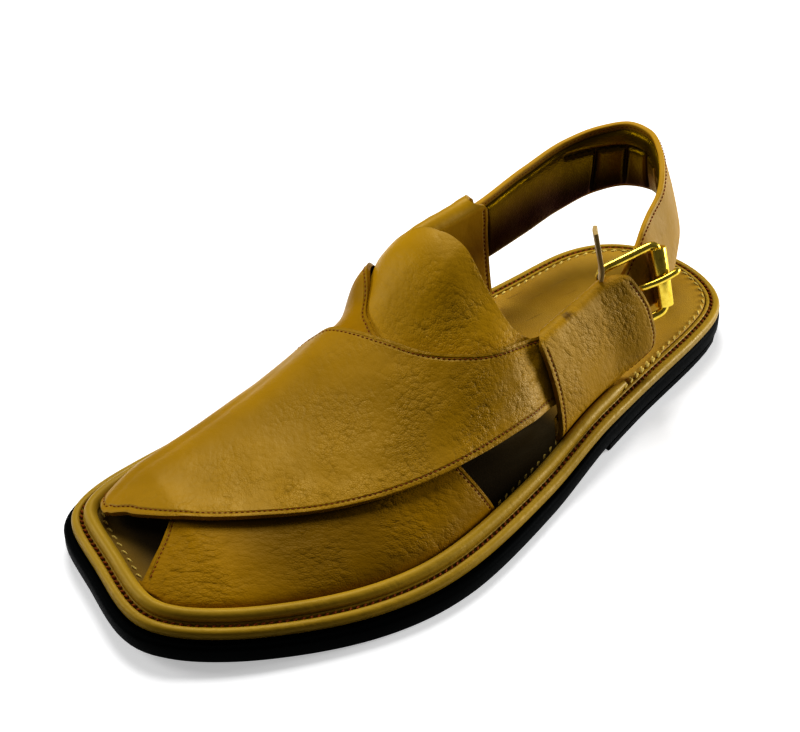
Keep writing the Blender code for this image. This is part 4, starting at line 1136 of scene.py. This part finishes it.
def frame_point(share, height, lift):
    """A point by the buckle: share from hinge to roller, height down the bar, lift outside its plane."""
    top = HINGE_TOP + (ROLLER_TOP - HINGE_TOP) * share
    foot = HINGE_FOOT + (ROLLER_FOOT - HINGE_FOOT) * share
    out = np.cross(HINGE_FOOT - HINGE_TOP, ROLLER_TOP - HINGE_TOP)
    return top + (foot - top) * height + out / np.linalg.norm(out) * lift


def in_ear(rows, depth):
    """Both edges of the strap where it lies inside an ear."""
    return [last_inside(y, np.array((top, foot)), depth).reshape(-1) for y, top, foot in rows]


def strap_edges():
    """The strap's two edges, from the inner ear round the heel and through the buckle to the outer ear."""
    rows = in_ear(STRAP_IN_INNER_EAR, EAR_DEPTH - 0.5)
    rows += [np.array(row, float) for row in STRAP_LOOP]
    rows += [np.concatenate([frame_point(share, 0.13, lift), frame_point(share, 0.97, lift)])
             for share, lift in ((0.32, 1.2), (0.0, 2.7))]
    return np.array(rows + in_ear(STRAP_IN_EAR, EAR_DEPTH))


def band(rows, count, across, depth=0.0, trims=(0.0, 0.0), camber=0.0, first=0.0, last=1.0):
    """Points over a band between two edges, and the way out of it.

    It runs from row `first` to row `last`, which counts from the end with 1 for the last row. trims cut
    it narrower, depth lays it inside and camber bows it.
    """
    travel = travelled((rows[:, :3] + rows[:, 3:]) / 2)
    start, end = np.interp((first, len(rows) - last), np.arange(len(rows)), travel)
    edges = read_curve(travel, rows, np.linspace(start, end, count))
    top, foot = edges[:, :3], edges[:, 3:]
    width = np.linalg.norm(foot - top, axis=1)
    down = (foot - top) / width[:, None]
    out = unit(np.cross(np.gradient((top + foot) / 2, axis=0), down))
    part = np.linspace(0.0, 1.0, across)
    place = trims[0] + (width[:, None] - trims[0] - trims[1]) * part
    bow = camber * np.sin(np.pi * part) - depth
    return top[:, None] + down[:, None] * place[..., None] + out[:, None] * bow[..., None], out


EDGES = strap_edges()
print("strap:", round(float(np.linalg.norm(EDGES[6, 3:] - EDGES[6, :3])), 1), "mm wide near the heel")

# %% [markdown]
# The strap is one long sheet between its two edges, with its wall half to each side. Its seam runs close
# to the upper edge and shows on both faces, so two rows of stitches follow it, each lifted to its face.

# %% Back strap
SEAM_INSET, OUTSIDE_LIFT, INSIDE_LIFT, SEAM_PART = 1.7, 1.4, 0.95, slice(40, 400)
STRAP, strap_out = band(EDGES, 420, 22, camber=0.6)
facing = STRAP if np.sum(outwards(STRAP)[:, 11] * strap_out) > 0 else STRAP[:, ::-1]
strap = lay("heel_strap", facing)
width = np.linalg.norm(STRAP[:, -1] - STRAP[:, 0], axis=1)[:, None]
top_seam = STRAP[:, 0] + (STRAP[:, -1] - STRAP[:, 0]) * SEAM_INSET / width
seams = [(top_seam + strap_out * OUTSIDE_LIFT, strap_out), (top_seam - strap_out * INSIDE_LIFT, -strap_out)]
mark(strap, np.vstack([STRAP[:, 0], STRAP[:, -1]]), seams)
wall(strap, 2.2, rim=0.7, offset=0.0)
finish_piece(strap, STRAP_LEATHER, "leather_strap", "back_strap")
for name, (line, out) in zip(("strap_stitches_outside", "strap_stitches_inside"), seams):
    stitch_row(name, line[SEAM_PART], out[SEAM_PART], *FINE, DARK_THREAD, "leather_strap")

# %% [markdown]
# The lining is foam under a thin skin, sewn down along one long seam and in channels that cross the
# strap below it. Its section is a closed cushion, crowned between the seams and pulled thin at each one.
# A cloth simulation is another way to make it. Here the crown is worked out from the distance to the
# nearest seam, which is quick and gives the same cushion on each run.

# %% Quilted lining
CHANNEL_SEAMS = np.array((0.455, 0.555, 0.635, 0.71, 0.785, 0.86, 0.93))  # shares of the lining's length


def lining_rings():
    """The cushion's rings, and the places where its skin is sewn down."""
    count, across = 420, 41
    face, out = band(EDGES, count, across, 1.2, trims=(2.9, 1.4), camber=0.6, first=2.22, last=9.0)
    travel = travelled(face[:, across // 2])
    part = np.linspace(0.0, 1.0, across)
    split = 0.02 + 0.24 * ease((travel / travel[-1] - 0.22) / 0.34)[:, None]
    seams = travel[-1] * CHANNEL_SEAMS
    gap = np.min(np.abs(travel[:, None] - seams[None]), axis=1)[:, None]
    down = ease((part[None] - split) / 0.05)
    level = np.abs(part[None] - split) * 22.0 + 9.0 * ease((0.10 - split) / 0.08)
    sewn = np.maximum(np.exp(-(gap / 1.1) ** 2) * down, np.exp(-(level / 0.8) ** 2))
    ends = ease(np.minimum(travel, travel[-1] - travel) / 2.0)[:, None]
    puff = (0.35 + 2.65 * np.sin(np.pi * part[None]) ** 0.45) * (1.0 - 0.55 * sewn) * (0.35 + 0.65 * ends)
    front = face - out[:, None] * puff[..., None]
    rings = np.concatenate([face, front[:, ::-1]], axis=1)
    return rings, front[sewn > 0.75]


LINING, SEWN_PLACES = lining_rings()
lining = lay("quilted_lining", LINING, round_row=True, ends=True)
near_line(lining, SEWN_PLACES, "channel")
finish_piece(lining, LINING_SKIN, "lining_brown", "strap_lining", angle=60.0)

# %% [markdown]
# The buckle is bent from brass wire: a closed frame, a tube that rolls on its rear bar, and a prong with
# a filed tip. Wire is drawn as a curve with a round bevel and then turned into a mesh.

# %% Buckle
def wire(name, points, radius, cyclic=False, taper=None):
    """A round wire along points; taper thins it by a factor at each of them."""
    deselect()
    curve = bpy.data.curves.new(name, "CURVE")
    curve.dimensions, curve.bevel_depth = "3D", radius * MM
    curve.bevel_resolution, curve.use_fill_caps = 6, True
    spline = curve.splines.new("POLY")
    spline.points.add(len(points) - 1)
    for i, (target, point) in enumerate(zip(spline.points, points)):
        target.co = (*(np.asarray(point) * MM), 1.0)
        target.radius = taper[i] if taper is not None else 1.0
    spline.use_cyclic_u = cyclic
    piece = bpy.data.objects.new(name, curve)
    bpy.context.scene.collection.objects.link(piece)
    pick(piece)
    bpy.ops.object.convert(target="MESH")
    weld(WELD / 10)
    return piece


FRAME_CORNERS = [(0.0, -0.09), (1.0, -0.09), (1.0, 1.09), (0.0, 1.09)]  # share, height
CORNER_POINTS, CORNER_ALONG, CORNER_DOWN = 12, 0.14, 0.11
FRAME_WIRE, PRONG_WIRE, PRONG_POINTS, PRONG_HEIGHT = 1.7, 1.3, 60, 0.48


def frame_wire():
    """Points round the frame, whose four corners are rounded."""
    points = []
    for index, (share, height) in enumerate(FRAME_CORNERS):
        inwards, upwards = (1.0 if share < 0.5 else -1.0), (1.0 if height < 0.5 else -1.0)
        for k in range(CORNER_POINTS):
            turn = k / (CORNER_POINTS - 1) * math.pi / 2
            along, across = math.cos(turn), math.sin(turn)
            if index % 2:
                along, across = across, along
            points.append(frame_point(share + inwards * CORNER_ALONG * (1 - along),
                                      height + upwards * CORNER_DOWN * (1 - across), 0.0))
    return points


ring = wire("buckle_wire", frame_wire(), FRAME_WIRE, cyclic=True)
finish_piece(ring, BRASS, "brass", "buckle_frame", angle=60.0)
PRONG = [  # share, lift
    (0.125, 0.0), (0.25, 0.15), (0.45, 1.1), (0.68, 3.4), (0.86, 4.5), (1.02, 4.5), (1.18, 3.9), (1.30, 2.6),
]
path = smooth_path([frame_point(share, PRONG_HEIGHT, lift) for share, lift in PRONG], PRONG_POINTS)
filed = np.ones(PRONG_POINTS)
filed[-5:] = (0.98, 0.92, 0.80, 0.60, 0.30)
prong = wire("buckle_pin", path, PRONG_WIRE, taper=filed)
finish_piece(prong, BRASS, "brass", "buckle_prong", angle=60.0)


def roller_rings():
    """Rings of a tube with rounded rims, as radius and place along it, outside and bore in one loop."""
    start, end = frame_point(1.0, -0.02, 0.0), frame_point(1.0, 1.0, 0.0)
    axis = (end - start) / np.linalg.norm(end - start)
    side = np.cross(axis, (0.0, 1.0, 0.0))
    side /= np.linalg.norm(side)
    front = np.cross(axis, side)
    angle = np.linspace(0, 2 * np.pi, 40, endpoint=False)
    around = side * np.cos(angle)[:, None] + front * np.sin(angle)[:, None]
    length = np.linalg.norm(end - start)
    section = [(2.0, 0.3), (2.3, 0.05), (3.1, 0.0), (3.4, 0.12), (3.55, 0.45)]
    profile = section + [(r, length - t) for r, t in section[::-1]]
    return np.array([start + axis * t + around * r for r, t in profile])


rings = roller_rings()
roller = lay("buckle_tube", np.vstack([rings, rings[:1]]), round_row=True)
weld()
finish_piece(roller, BRASS, "brass", "buckle_roller", angle=40.0)

# %% [markdown]
# A thin, curled end of pale raw leather stands up behind the outer ear, over the buckle's hinge bar. It
# is a short band between two edges, made as the strap is.

# %% Curled leather end
TAB = np.array([  # edge towards the toe, edge towards the heel
    (27.9, -47.8, 55.3, 24.5, -45.0, 55.3), (27.8, -47.6, 58.5, 22.4, -43.0, 58.5),
    (26.3, -48.3, 66.0, 19.5, -42.5, 66.0), (24.4, -49.3, 75.0, 19.6, -45.1, 75.0),
], float)
tab_points, tab_out = band(TAB, 40, 12, camber=0.5)
if np.sum(outwards(tab_points)[:, 6] * tab_out) < 0:
    tab_points = tab_points[:, ::-1]
tab = lay("curled_end", tab_points)
mark(tab, np.vstack([tab_points[:, 0], tab_points[:, -1]]) + (0, 0, 90.0))  # no darkened edge
wall(tab, 1.6, rim=0.45, offset=0.0)
finish_piece(tab, RAW_LEATHER, "leather_strap", "buckle_tab")
